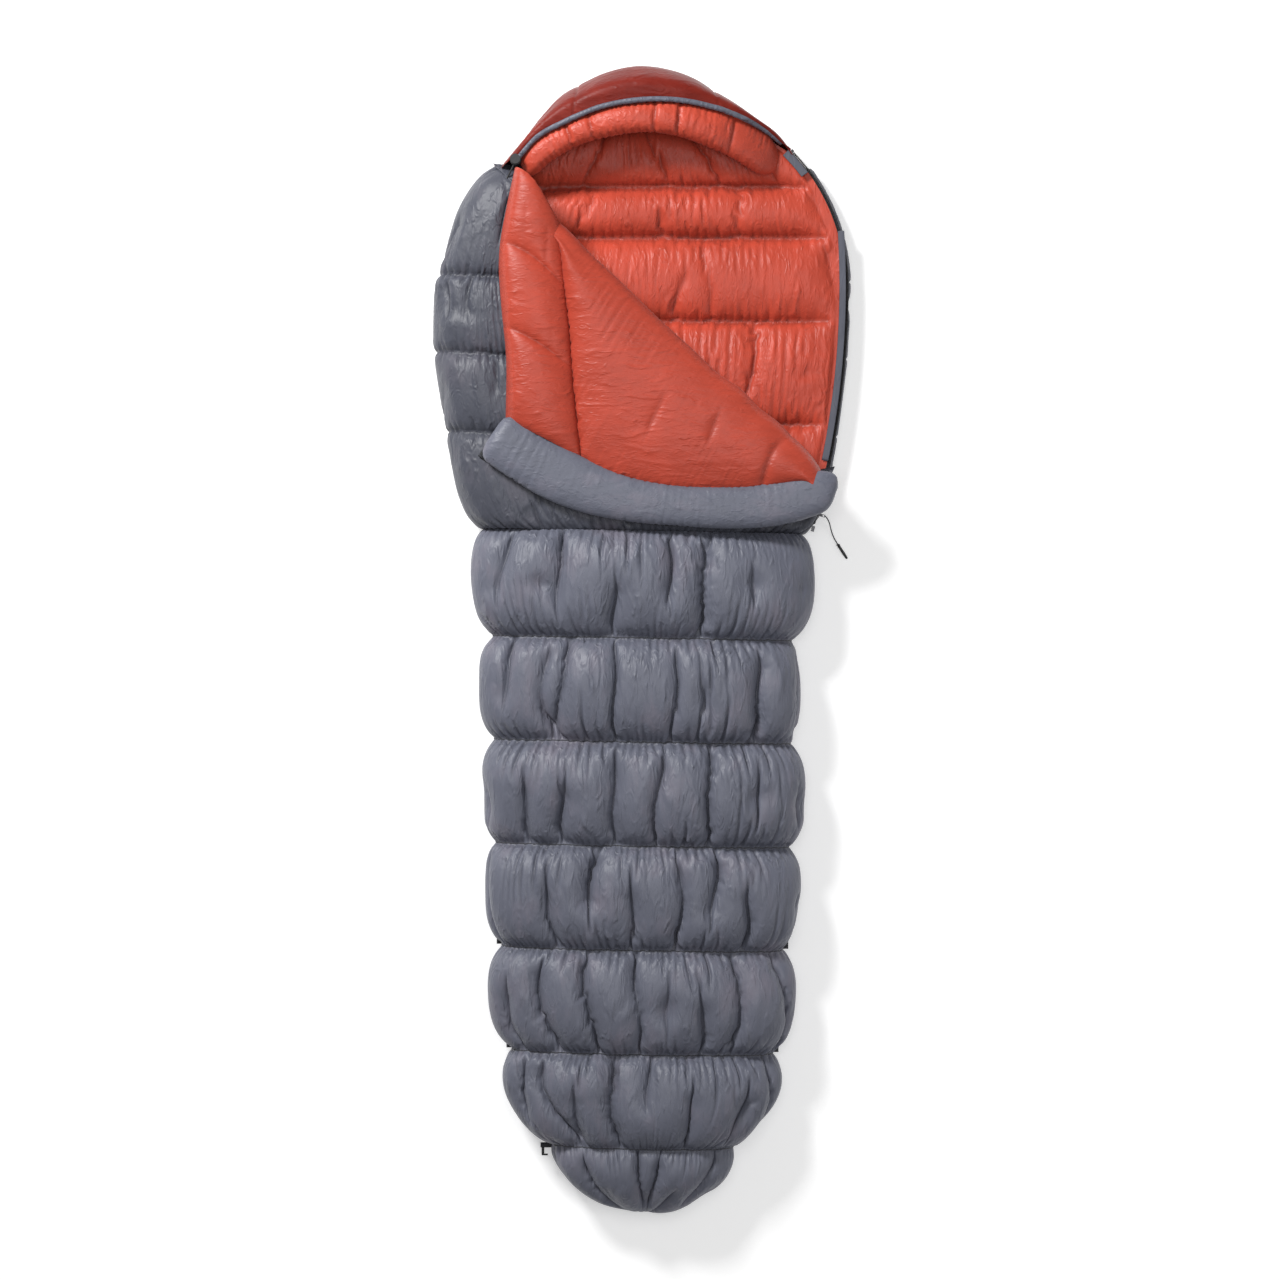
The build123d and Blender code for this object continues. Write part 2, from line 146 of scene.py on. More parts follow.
def settle(x, target, guide, across, along, pinned, steps, push, hold, wrap):
    """Position-based cloth on a grid: pressure outwards, a weak pull to the guide, stiff threads.

    across and along say how much longer the cloth is than the guide each way. target is the guide
    with its creases pushed in.
    """
    rows, columns = x.shape[:2]
    if wrap:
        guide_across = np.linalg.norm(np.roll(guide, -1, 1) - guide, axis=-1)
    else:
        guide_across = lengths(guide, 0, 1)
    rest_h = guide_across * across
    rest_v = lengths(guide, 1, 0) * along
    rest_h2 = (rest_h[:, :-1] + rest_h[:, 1:]) * 0.90
    rest_v2 = (rest_v[:-1] + rest_v[1:]) * 0.90
    flat_h, flat_v = lengths(guide, 0, 1), lengths(guide, 1, 0)
    longer = rest_h[:-1, :columns - 1] ** 2 - flat_h[:-1] ** 2 + (rest_v ** 2 - flat_v ** 2)[:,
                                                                                             :columns - 1]
    falling = np.sqrt(lengths(guide, 1, 1) ** 2 + longer)
    rising = np.sqrt(lengths(guide, 1, -1) ** 2 + longer)
    fixed = x[pinned].copy()
    before = x.copy()
    for step in range(steps):
        if step % 2 == 0:
            out = normals(x, wrap)
        fresh = x + KEPT_SPEED * (x - before) + push * out + hold * (target - x)
        before = x
        x = fresh
        for _ in range(PULL_ROUNDS):
            for s in (0, 1):
                last = (columns - s) // 2 * 2 + s
                pull_pairs(x[:, s:last:2], x[:, s + 1:last:2], rest_h[:, s:last - 1:2], 1.0, 0.8)
            if wrap:
                pull_pairs(x[:, columns - 1], x[:, 0], rest_h[:, columns - 1], 1.0, 0.8)
            for s in (0, 1):
                last = (rows - s) // 2 * 2 + s
                pull_pairs(x[s:last:2], x[s + 1:last:2], rest_v[s:last - 1:2], 1.0, 0.6)
            for s in (0, 1):
                last = (rows - s) // 2 * 2 + s
                pull_pairs(x[s:last:2, :-1], x[s + 1:last:2, 1:], falling[s:last - 1:2], SHEAR_STRETCH,
                           SHEAR_SQUEEZE)
                pull_pairs(x[s:last:2, 1:], x[s + 1:last:2, :-1], rising[s:last - 1:2], SHEAR_STRETCH,
                           SHEAR_SQUEEZE)
            for s in (0, 1, 2, 3):
                a, b = x[:, s:columns - 2:4], x[:, s + 2::4]
                pull_pairs(a, b, rest_h2[:, s:columns - 2:4], 0.0, BEND)
                a, b = x[s:rows - 2:4], x[s + 2::4]
                pull_pairs(a, b, rest_v2[s::4], 0.0, BEND)
            x[pinned] = fixed
        np.maximum(x[..., 2], LOWEST_CLOTH, out=x[..., 2])
    return x


def resized(a, rows, columns, wrap):
    """A grid of values on a finer or coarser grid, straight between its points."""
    old_rows, old_columns = a.shape[:2]
    r = np.linspace(0, old_rows - 1, rows)
    if wrap:
        a = np.concatenate([a, a[:, :1]], 1)
        c = np.arange(columns) * old_columns / columns
    else:
        c = np.linspace(0, old_columns - 1, columns)
    r0 = np.minimum(r.astype(int), a.shape[0] - 2)
    c0 = np.minimum(c.astype(int), a.shape[1] - 2)
    fr = (r - r0).reshape(-1, 1, *([1] * (a.ndim - 2)))
    fc = (c - c0).reshape(1, -1, *([1] * (a.ndim - 2)))
    top = a[r0][:, c0] * (1 - fc) + a[r0][:, c0 + 1] * fc
    low = a[r0 + 1][:, c0] * (1 - fc) + a[r0 + 1][:, c0 + 1] * fc
    return top * (1 - fr) + low * fr


def smooth_noise(random, rows, columns, cells_r, cells_c, wrap):
    """Even noise from -1 to 1 with about so many cells each way."""
    coarse = random.uniform(-1, 1, (max(2, cells_r), max(2, cells_c)))
    return resized(coarse, rows, columns, wrap)


def mesh_object(name, x, wrap=False, close_start=False, flip=False):
    """A grid as a smooth-shaded mesh object."""
    rows, columns = x.shape[:2]
    index = np.arange(rows * columns).reshape(rows, columns)
    if wrap:
        index = np.concatenate([index, index[:, :1]], 1)
    quads = np.stack([index[:-1, :-1], index[:-1, 1:], index[1:, 1:], index[1:, :-1]], -1).reshape(-1, 4)
    if flip:
        quads = quads[:, ::-1]
    faces = quads.tolist()
    if close_start:
        faces.append(index[0, :columns].tolist()[::1 if flip else -1])
    mesh = bpy.data.meshes.new(name)
    mesh.from_pydata(x.reshape(-1, 3).tolist(), [], faces)
    mesh.polygons.foreach_set("use_smooth", np.ones(len(faces), bool))
    mesh.update()
    return add(name, mesh)


# ---------------------------------------------------------------- shapes shared by the quilts

LEG_SEAMS = [-0.932, -0.760, -0.570, -0.380, -0.190, 0.0, 0.196]
LEG_HALVES = [
    (-1.0515, 0.010), (-1.049, 0.036), (-1.042, 0.066), (-1.028, 0.097), (-1.008, 0.124), (-0.985, 0.146),
    (-0.960, 0.160), (-0.932, 0.166), (-0.905, 0.196), (-0.846, 0.240), (-0.800, 0.248), (-0.760, 0.238),
    (-0.725, 0.262), (-0.665, 0.273), (-0.610, 0.271), (-0.570, 0.257), (-0.535, 0.275), (-0.475, 0.283),
    (-0.420, 0.281), (-0.380, 0.268), (-0.345, 0.283), (-0.285, 0.289), (-0.230, 0.285), (-0.190, 0.271),
    (-0.155, 0.286), (-0.095, 0.292), (-0.040, 0.288), (0.0, 0.273), (0.035, 0.294), (0.095, 0.307),
    (0.150, 0.303), (0.196, 0.292),
]
SEAM_TOP, LOBE_TOP = 0.112, 0.143
FOOT_MIDDLE_Z = 0.056


def curve_through(table, at):
    """Values at the given places on a smooth curve through (place, value) pairs."""
    xs, ys = np.array(table, float).T
    slope = np.gradient(ys, xs)
    i = np.clip(np.searchsorted(xs, at) - 1, 0, len(xs) - 2)
    h = xs[i + 1] - xs[i]
    t = np.clip((at - xs[i]) / h, 0, 1)
    a = (1 + 2 * t) * (1 - t) ** 2 * ys[i] + t * (1 - t) ** 2 * h * slope[i]
    return a + t * t * (3 - 2 * t) * ys[i + 1] + t * t * (t - 1) * h * slope[i + 1]


def between_seams(y, seams):
    """0 at a seam, 1 halfway to the next."""
    i = np.clip(np.searchsorted(seams, y) - 1, 0, len(seams) - 2)
    low, high = np.array(seams)[i], np.array(seams)[i + 1]
    return 1 - np.abs(2 * y - low - high) / (high - low)


def rounded(share):
    """A pillow's profile over 0 at its seam to 1 in its middle."""
    return (1 - (1 - np.clip(share, 0, 1)) ** 2.2) ** 0.8


def run_along(line):
    """How far along a line each of its points is."""
    return np.concatenate([[0], np.cumsum(np.linalg.norm(np.diff(line, axis=0), axis=1))])


def leftward(line):
    """The level direction to the left of each point of a line."""
    way = unit(np.gradient(line, axis=0))
    return np.stack([-way[:, 1], way[:, 0], 0 * way[:, 0]], 1)


def points_at(at, run, line):
    """Points so far along a line."""
    return np.stack([np.interp(at, run, column) for column in line.T], 1)


def spread(line, counts, corners):
    """Points along a dense line: so many, evenly spaced, between each two of its corner places."""
    run = run_along(line)
    stops = [run[c] for c in corners]
    at = np.concatenate([np.linspace(a, b, n, endpoint=False) for a, b, n in zip(stops, stops[1:], counts)])
    return points_at(at, run, line)


def eased(knots, steps, times):
    """The line through some points, so many steps to each stretch, with its corners rounded off."""
    spans = len(knots) - 1
    line = points_at(np.linspace(0, spans, steps * spans + 1), np.arange(spans + 1), knots)
    for _ in range(times):
        line[1:-1] = 0.5 * line[1:-1] + 0.25 * (line[:-2] + line[2:])
    return line


def upright(section, y):
    """An XZ section stood up at y."""
    return np.stack([section[:, 0], np.full(len(section), y), section[:, 1]], 1)


def raised(plan, z):
    """Plan points with their heights."""
    return np.concatenate([plan, z[..., None]], -1)


def held_edges(guide, first=1, last=1):
    """Marks so many columns at each side of a grid."""
    held = np.zeros(guide.shape[:2], bool)
    held[:, :first] = held[:, -last:] = True
    return held


def leg_section(half, top, low, counts):
    """A closed XZ section, left to right over the top, then back underneath: flat where it lies."""
    turn = np.linspace(math.pi, -math.pi, 721)
    c, s = np.cos(turn), np.sin(turn)
    middle = low + 0.42 * (top - low)
    power = np.where(s > 0, 2.5, 3.4)
    x = half * np.sign(c) * np.abs(c) ** (2 / power)
    z = middle + np.where(s > 0, top - middle, middle - low) * np.sign(s) * np.abs(s) ** (2 / power)
    return spread(np.stack([x, z], 1), counts, (0, 360, 720))


def leg_guide(ys, counts):
    halves = curve_through(LEG_HALVES, ys)
    lift = between_seams(ys, LEG_SEAMS)
    rows = []
    for y, half, share in zip(ys, halves, rounded(lift)):
        foot = max(0.0, (LEG_SEAMS[0] - y) / (LEG_SEAMS[0] + 1.0515))
        if foot > 0:
            round_off = math.sqrt(max(0.0, 1 - foot ** 2.6))
            top = FOOT_MIDDLE_Z + (SEAM_TOP + 0.010 * math.sin(foot * math.pi) - FOOT_MIDDLE_Z) * round_off
            low = FOOT_MIDDLE_Z - (FOOT_MIDDLE_Z - 0.001) * round_off ** 0.6
        else:
            top = SEAM_TOP + (LOBE_TOP - SEAM_TOP) * share
            low = 0.001
        section = leg_section(half, top, low, counts)
        rows.append(upright(section, y))
    return np.array(rows)


def creases(random, count, chambers, flow, first=0.0):
    """Lines down each chamber where the cloth folds in: (chamber, place across, lean, start, end, depth)."""
    found = []
    for chamber in range(chambers):
        places = (np.arange(count) + 0.5 + random.uniform(-0.38, 0.38, count)) / count
        for place in first + (1 - first) * places:
            start = random.choice([0.0, 0.0, 0.3]) * random.uniform(0.6, 1.4)
            end = random.choice([1.0, 1.0, 0.62]) * random.uniform(0.85, 1.05)
            lean = random.uniform(-0.035, 0.035)
            found.append((chamber, place, lean, start, end, random.uniform(0.6, 1.2) * flow))
    return found


def pleats(random, columns, size, pitch):
    """A random zigzag along a seam row, with so many columns to a pleat."""
    at, sign = 0.0, 1.0
    knots, heights = [0.0], [0.0]
    while at < columns:
        at += random.uniform(0.62, 1.5) * pitch / 2
        knots.append(at)
        heights.append(sign * random.uniform(0.45, 1.15))
        sign = -sign
    return np.interp(np.arange(columns), knots, heights) * size


def quilted(guide, seams, seed, across=(1.16, 1.22, 1.28), along=1.05, gather=0.0, gather_rows=9,
            wrap=False, push=0.00022, hold=0.012, crease=0.010, crease_count=7, top_columns=None,
            pleat=0.0021, pitch=3.6, steps=(50, 36, 26), held=None, roughness=0.0009, patchy=0.6,
            patch=(22, 26), crease_width=(0.010, 0.024), crease_from=0.0):
    """Cloth sewn down along its seam rows and blown up between them, solved from coarse to fine.

    across is its fullness at the three levels, gather is how much more it has near a seam, and patchy
    how unevenly it is spread, in patches of so many rows and columns.
    """
    random = np.random.RandomState(seed)
    rows, columns = guide.shape[:2]
    top = columns if top_columns is None else top_columns
    out = normals(guide, wrap)
    row_at = np.arange(rows)
    target = guide.copy()
    u = np.arange(columns) / top
    for chamber, place, lean, start, end, depth in creases(random, crease_count, len(seams) - 1, crease,
                                                           crease_from):
        low, high = seams[chamber], seams[chamber + 1]
        t = (row_at - low) / (high - low)
        inside = (t > 0) & (t < 1)
        window = np.clip((t - start) / 0.12, 0, 1) * np.clip((end - t) / 0.12, 0,
                                                             1) if end > start else 0 * t
        middle = place + lean * (t - 0.5) + 0.012 * np.sin(5 * t + place * 40)
        away = np.abs(u[None, :] - middle[:, None])
        sunk = depth * np.exp(-away / random.uniform(*crease_width)) * (window * inside)[:, None]
        target -= out * sunk[..., None]
    x = None
    near = np.min(np.abs(row_at[:, None] - np.array(seams)[None, :]), 1)
    slack = smooth_noise(random, rows, columns, rows // patch[0] + 2, columns // patch[1] + 2, wrap)
    slack = 1 + patchy * np.clip(1.5 * slack, -1, 1)
    for level, step_count, full in zip((4, 2, 1), steps, across):
        g, aim = guide[::level, ::level], target[::level, ::level]
        n = normals(g, wrap)
        r, c = g.shape[:2]
        if x is None:
            x = aim.copy()
            x += n * 0.006 * smooth_noise(random, r, c, max(2, len(seams) * 2), max(4, c // 3),
                                          wrap)[..., None]
        else:
            x = resized(x, r, c, wrap)
            x += n * roughness * random.uniform(-1, 1, (1, c, 1)) * random.uniform(0.4, 1, (r, 1, 1))
            x += n * 0.4 * roughness * random.uniform(-1, 1, (r, c, 1))
        pinned = np.zeros((r, c), bool)
        for seam in seams:
            row = seam // level
            pinned[row] = True
            x[row] = g[row]
            if level == 1:
                zig = pleats(random, c, pleat, pitch)
                x[row] += n[row] * zig[:, None]
                for beside in (-2, -1, 1, 2):
                    if 0 <= row + beside < r:
                        x[row + beside] += n[row] * (zig * (1 - 0.25 * abs(beside)))[:, None]
        if held is not None:
            free = held[::level, ::level]
            pinned |= free
            x[free] = g[free]
        x[..., 2] = np.maximum(x[..., 2], LOWEST_CLOTH)
        extra = gather * np.exp(-near[::level] / gather_rows) if level == 1 else 0 * near[::level]
        fullness = 1 + (full - 1) * slack[::level, ::level] + extra[:, None]
        if not wrap:
            fullness = fullness[:, :-1]
        lengthwise = 1 + (along - 1) * slack[:-1:level, ::level][:r - 1]
        x = settle(x, aim, g, fullness, lengthwise, pinned, step_count, push * level / 2, hold, wrap)
    return x


def soften(x, times, wrap=False):
    """Takes the single-point roughness off a grid."""
    for _ in range(times):
        side = np.roll(x, 1, 1) + np.roll(x, -1, 1)
        if not wrap:
            side[:, 0], side[:, -1] = 2 * x[:, 0], 2 * x[:, -1]
        x = 0.7 * x + 0.15 * side
        x[1:-1] = 0.8 * x[1:-1] + 0.1 * (x[:-2] + x[2:])
    return x


def rows_between(places, spacing):
    """Rows that fall on every place, a multiple of four to each stretch, and the places' row numbers."""
    ys, marks = [], [0]
    for a, b in zip(places, places[1:]):
        n = max(4, round((b - a) / spacing / 4) * 4)
        ys.extend(np.linspace(a, b, n, endpoint=False))
        marks.append(marks[-1] + n)
    return np.array(ys + [places[-1]]), marks


# ---------------------------------------------------------------- legs

SLOPE = 0.018
leg_counts = (264, 88)
foot_turn = np.linspace(0, 0.5 * math.pi, 37)[1:-1]
foot_ys = LEG_SEAMS[0] - 0.1192 * np.sin(foot_turn[::-1])
leg_ys, leg_marks = rows_between(LEG_SEAMS, 0.0046)
foot_rows = len(foot_ys) + 1
all_ys = np.concatenate([[LEG_HALVES[0][0]], foot_ys, leg_ys])
leg_marks = [0] + [mark + foot_rows for mark in leg_marks]
guide = leg_guide(all_ys, leg_counts)
leg = quilted(guide, leg_marks, 5, across=(1.10, 1.15, 1.17), along=1.035, gather=0.34, gather_rows=6,
              wrap=True, top_columns=leg_counts[0], steps=(50, 44, 40), crease=0.034, crease_count=8,
              patchy=0.85, patch=(16, 26), push=0.00028, hold=0.012, crease_width=(0.010, 0.028),
              roughness=0.0006)
leg = soften(leg, 2, True)
leg[..., 1] -= SLOPE * leg[..., 0]
legs = mesh_object("leg_quilt", leg, wrap=True, close_start=True)


# ---------------------------------------------------------------- chest

LEFT_EDGE = [(0.196, -0.296), (0.215, -0.315), (0.249, -0.333), (0.311, -0.350), (0.372, -0.357),
             (0.433, -0.368), (0.495, -0.377), (0.569, -0.380), (0.644, -0.375), (0.718, -0.357),
             (0.770, -0.340), (0.806, -0.322), (0.840, -0.297), (0.869, -0.262)]
LONG_ARC = (-1.237, 0.650, 1.617)
RIGHT_ARC = (0.024, 0.650, 0.356)
FOLD_SUM = 0.595
ZIP_Z = 0.041
FRONT_SEAMS = [0.196, 0.372, 0.516, 0.658, 0.869]
BACK_SEAMS = [0.196, 0.394, 0.586, 0.740, 0.833, 0.960]


def right_edge(y):
    """The zip's track."""
    arc = LONG_ARC if y <= LONG_ARC[1] else RIGHT_ARC
    return arc[0] + math.sqrt(max(1e-6, arc[2] ** 2 - (y - arc[1]) ** 2))


def shell_edge(y):
    """The shell's right side: the track's, drawn in at the waist."""
    return right_edge(y) - 0.022 * max(0.0, (0.240 - y) / 0.044) ** 1.4


def chest_section(y, left, share, counts):
    right = shell_edge(y)
    full = 0.1065 + 0.0095 * share
    ending = max(0.0, (y - 0.815) / 0.056)
    top = 0.060 + (full - 0.060) * math.sqrt(max(0.0, 1 - ending ** 2))
    inner = FOLD_SUM - y - 0.001
    drop = np.clip((0.268 - y) / 0.035, 0, 1)
    end = min(inner, right - 0.012 * (1 - drop))
    zip_side = np.array([[right + 0.001, ZIP_Z - 0.006], [right + 0.002, 0.030], [right - 0.004, 0.010],
                         [right - 0.030, 0.001]])
    left_side = np.array([[left + 0.040, 0.001], [left + 0.008, 0.012], [left, 0.040],
                          [left + 0.004, 0.070], [left + 0.026, top - 0.012], [left + 0.075, top]])
    over = [[left + 0.075 + (end - left - 0.075) * t, top + 0.002 * math.sin(math.pi * t)]
            for t in (0.25, 0.5, 0.75)]
    last = [[end, top * (1 - drop) + (ZIP_Z + 0.008) * drop]]
    knots = np.concatenate([zip_side, left_side, over, last])
    corner_at = (0, 3, 4, 9, len(knots) - 1)
    line = eased(knots, 40, 60)
    section = spread(line, counts, [40 * c for c in corner_at])
    return np.concatenate([section, line[-1:]])


chest_counts = (16, 84, 56, 144)
chest_ys, chest_marks = rows_between(FRONT_SEAMS, 0.0046)
lift = between_seams(chest_ys, FRONT_SEAMS)
lefts = curve_through(LEFT_EDGE, chest_ys)
guide = []
for y, left, share in zip(chest_ys, lefts, rounded(lift)):
    section = chest_section(y, left, share, chest_counts)
    guide.append(upright(section, y))
guide = np.array(guide)
sway = np.interp(guide[..., 0], (-0.38, -0.20, 0.10), (0.010, -0.004, 0.0))
guide[..., 1] += sway * np.clip((chest_ys - 0.22) / 0.1, 0, 1)[:, None]
chest = quilted(guide, chest_marks, 12, across=(1.045, 1.065, 1.08), along=1.035, gather=0.12,
                gather_rows=6, pleat=0.0014, steps=(50, 40, 30), crease=0.010, crease_count=10,
                held=held_edges(guide), push=0.00018, hold=0.012, crease_width=(0.010, 0.020),
                roughness=0.0005)
chest[..., 1] -= SLOPE * chest[..., 0] * np.clip((0.30 - chest[..., 1]) / 0.104, 0, 1)
chest_shell = mesh_object("chest_shell", chest)


# ---------------------------------------------------------------- back lining

def lining_guide(ys, shares, columns):
    rows = []
    for y, share in zip(ys, shares):
        right = right_edge(y) - 0.0065 - 0.5 * max(0.0, y - 0.885) - 0.060 * max(0.0, (0.240 - y) / 0.044)
        left = float(curve_through(LEFT_EDGE, np.array([min(y, 0.80)]))[0]) + 0.050
        if y > 0.80:
            left = max(left, 0.006 - math.sqrt(max(0.004, 0.285 ** 2 - (y - 0.720) ** 2)))
        top = 0.026 + 0.024 * share
        knots = np.array([[left, 0.036], [left + 0.03, top + 0.004], [0.5 * (left + right), top],
                          [right - 0.07, top], [right - 0.018, 0.0418], [right, 0.0428]])
        line = eased(knots, 50, 90)
        section = np.concatenate([spread(line, (columns - 1,), (0, 250)), line[-1:]])
        rows.append(upright(section, y))
    return np.array(rows)


back_ys, back_marks = rows_between(BACK_SEAMS, 0.0048)
lift = between_seams(back_ys, BACK_SEAMS)
guide = lining_guide(back_ys, rounded(lift), 161)
lining = quilted(guide, back_marks, 23, across=(1.045, 1.052, 1.055), along=1.03, gather=0.04,
                 pleat=0.0010, pitch=4.6, steps=(50, 40, 30), crease=0.009, crease_count=5,
                 held=held_edges(guide, 1, 5), push=0.00018, hold=0.016, roughness=0.0004, patchy=0.95,
                 patch=(14, 18))
back_lining = mesh_object("back_lining_quilt", lining)


# ---------------------------------------------------------------- flap: lining side up

def even_path(points, count):
    """Evenly spaced points on a smooth curve through the given ones."""
    p = np.array(points, float)
    run = run_along(p)
    fine = np.linspace(0, run[-1], 600)
    dense = np.stack([curve_through(list(zip(run, p[:, k])), fine) for k in range(p.shape[1])], 1)
    length = run_along(dense)
    return points_at(np.linspace(0, length[-1], count), length, dense)


NECK_EDGE = [(-0.232, 0.856), (-0.246, 0.792), (-0.261, 0.700), (-0.257, 0.600), (-0.249, 0.520),
             (-0.249, 0.398)]
COLLAR_SEAM = [(-0.158, 0.764), (-0.151, 0.742), (-0.141, 0.644), (-0.132, 0.558), (-0.126, 0.465),
               (-0.111, 0.327)]
BAND_TOP = [(-0.247, 0.409), (-0.179, 0.366), (-0.113, 0.330), (-0.038, 0.296), (0.036, 0.279),
            (0.129, 0.274), (0.221, 0.279), (0.285, 0.293), (0.330, 0.308), (0.350, 0.312)]
BAND_LOW = [(-0.300, 0.331), (-0.241, 0.292), (-0.180, 0.255), (-0.118, 0.231), (-0.025, 0.212),
            (0.066, 0.204), (0.159, 0.199), (0.239, 0.204), (0.300, 0.218), (0.340, 0.236),
            (0.357, 0.262)]
OUTWARD = np.array([1, 1]) / math.sqrt(2)
ROLL_OUT = [(0.0, 0.005), (0.2, 0.005), (0.42, 0.007), (0.6, 0.018), (0.8, 0.028), (0.92, 0.028),
            (1.0, 0.012)]
ROLL_WIDE, ROLL_TOP, ROLL_BOTTOM = 0.026, 0.1480, 0.0885
FLAP_LOWEST = 0.1212
FIELD_EDGE = 0.1340
LINING_LOWEST = 0.1224

# the strip along the neck: rows run down it, columns across it from the neck edge to its seam
strip_rows, strip_columns = 109, 37
strip_seams = [0, 32, 68, 108]
left_line = even_path(NECK_EDGE, strip_rows)
right_line = even_path(COLLAR_SEAM, strip_rows)
c = np.linspace(0, 1, strip_columns)[None, :]
guide = left_line[:, None] * (1 - c[..., None]) + right_line[:, None] * c[..., None]
guide[..., 1] += 0.018 * (1 - np.arange(strip_rows) / (strip_rows - 1))[:, None] * np.sin(math.pi * c)
lift = between_seams(np.arange(strip_rows, dtype=float), strip_seams)
ridge = np.sin(math.pi * np.clip(c, 0, 1) ** 0.85) ** 0.55
z = 0.1335 + 0.0265 * ridge * (0.70 + 0.30 * rounded(lift))[:, None]
edge_rise = np.array([0.1225, 0.131, 0.138, 0.144])
z[:, :4] = np.minimum(z[:, :4], edge_rise)
guide = raised(guide, z)[::-1]
guide[:10, :, 2] -= 0.004 * (1 - np.arange(10) / 10)[:, None] ** 2
strip = quilted(guide, [108 - s for s in strip_seams[::-1]], 31, across=(1.006, 1.010, 1.014),
                along=1.010, pleat=0.0006, pitch=5.0, steps=(40, 30, 24), crease=0.004, crease_count=2,
                held=held_edges(guide), push=0.00014, hold=0.02, roughness=0.0003, patchy=0.95,
                patch=(14, 12))
strip[..., 2] = np.maximum(strip[..., 2], LINING_LOWEST)
flap_strip = mesh_object("flap_neck_strip", strip)

# the wide field and the fold: rows run from the seams to the fold, round it and back underneath,
# columns along the fold from its top to its foot
field_rows, roll_rows, field_columns = 72, 29, 153
outer = even_path(COLLAR_SEAM, 61)
band_seam = [(-0.111, 0.327), (-0.086, 0.308), *[(x, y - 0.006) for x, y in BAND_TOP[3:-2]], (0.326, 0.298)]
outer = np.concatenate([outer[:-1], even_path(band_seam, 93)])
u = np.linspace(0, 1, field_columns)
fold = np.stack([-0.158 + 0.488 * u, 0.753 - 0.488 * u], 1)
waves = 0.0030 * np.sin(math.pi * u) * np.sin(23 * u + 2.5 * np.sin(9 * u))
roll_middle = fold + OUTWARD * (curve_through(ROLL_OUT, u) + waves - ROLL_WIDE)[:, None]
v = np.linspace(0, 1, field_rows, endpoint=False)[:, None]
plan = outer[None] * (1 - v[..., None]) + roll_middle[None] * v[..., None]
swell = np.sin(math.pi * np.clip(u, 0, 1) ** 0.8)[None] ** 0.5
z = FIELD_EDGE + (ROLL_TOP - FIELD_EDGE) * np.sin(0.5 * math.pi * v) ** 0.6
z = z + 0.0120 * swell * np.sin(math.pi * v ** 1.1) ** 0.8
field_part = raised(plan, np.broadcast_to(z, plan.shape[:2]))
turn = np.linspace(0.5 * math.pi, -0.5 * math.pi, roll_rows)[:, None]
plan = roll_middle[None] + OUTWARD * (ROLL_WIDE * np.cos(turn) ** 0.8)[..., None]
middle_z, half_z = 0.5 * (ROLL_TOP + ROLL_BOTTOM), 0.5 * (ROLL_TOP - ROLL_BOTTOM)
z = np.broadcast_to(middle_z + half_z * np.sin(turn), plan.shape[:2])
roll_part = raised(plan, z)
guide = np.concatenate([field_part, roll_part])
field = quilted(guide, [0, len(guide) - 1], 37, across=(1.008, 1.011, 1.015), along=1.016, gather=0.05,
                gather_rows=6, pleat=0.0006, pitch=4.5, steps=(60, 44, 30), crease=0.007, crease_count=3,
                crease_from=0.30, held=held_edges(guide), push=0.00016, hold=0.014, roughness=0.0003,
                patchy=0.95, patch=(18, 22))
field[:field_rows, :, 2] = np.maximum(field[:field_rows, :, 2], LINING_LOWEST)
flap_field = mesh_object("flap_field", field)

# the shell under the folded corner: it shows when the corner is folded back
neck_side = even_path(NECK_EDGE, 61)
band_side = even_path(BAND_TOP, 93)
outer = np.concatenate([neck_side[:-1], band_side])
start = np.stack([-0.228 + 0.558 * u, 0.823 - 0.558 * u], 1)
v = np.linspace(0, 1, 81)[:, None]
plan = start[None] * (1 - v[..., None]) + outer[None] * v[..., None]
z = FLAP_LOWEST + 0 * plan[..., 0]
for seam_x, depth in ((-0.145, 0.004), (0.036, 0.012), (0.215, 0.012)):
    z += depth * np.clip(v / 0.16, 0, 1) * np.exp(-(np.abs(plan[..., 0] - seam_x) / 0.013) ** 1.1)
    near = np.exp(-np.abs(plan[..., 0] - seam_x) / 0.030)
    random = np.random.RandomState(int(1000 * seam_x + 500))
    folds = np.interp(plan[..., 1], np.linspace(0.2, 0.9, 130), random.uniform(-1, 1, 130))
    z += 0.0016 * near * (folds + 1)
crumple = smooth_noise(np.random.RandomState(67), *z.shape, 30, 22, False)
z += 0.0030 * np.abs(crumple) * np.clip(np.minimum(v, 1 - v) / 0.2, 0, 1)
edge_lift = np.clip((v - 0.96) / 0.04, 0, 1)
z += 0.006 * edge_lift ** 2 * np.clip((np.arange(field_columns) - 64) / 12, 0, 1)
under = raised(plan, np.maximum(z, FLAP_LOWEST))
flap_under = mesh_object("flap_underside", under)


def tube_guide(middles, wide, tall, ends, columns, away):
    """A closed pillow along a line: (half width, half height) at each point, squeezed shut at its ends."""
    share = np.linspace(0, 1, len(middles))
    close = np.sqrt(np.clip(1 - np.clip(1 - share / ends[0], 0, 1) ** 2, 0.02, 1))
    close *= np.sqrt(np.clip(1 - np.clip(1 - (1 - share) / ends[1], 0, 1) ** 2, 0.02, 1))
    turn = np.linspace(0, 2 * math.pi, columns, endpoint=False)[None]
    over = np.sign(np.cos(turn)) * np.abs(np.cos(turn)) ** 0.8
    blunt = np.where(share < 0.5, 0.35, 0.05)
    side = -over * (wide * (blunt + (1 - blunt) * close))[:, None]
    rise = np.sin(turn) * (tall * close)[:, None]
    plan = middles[:, None, :2] + away[:, None] * side[..., None]
    return raised(plan, middles[:, 2:3] + rise)


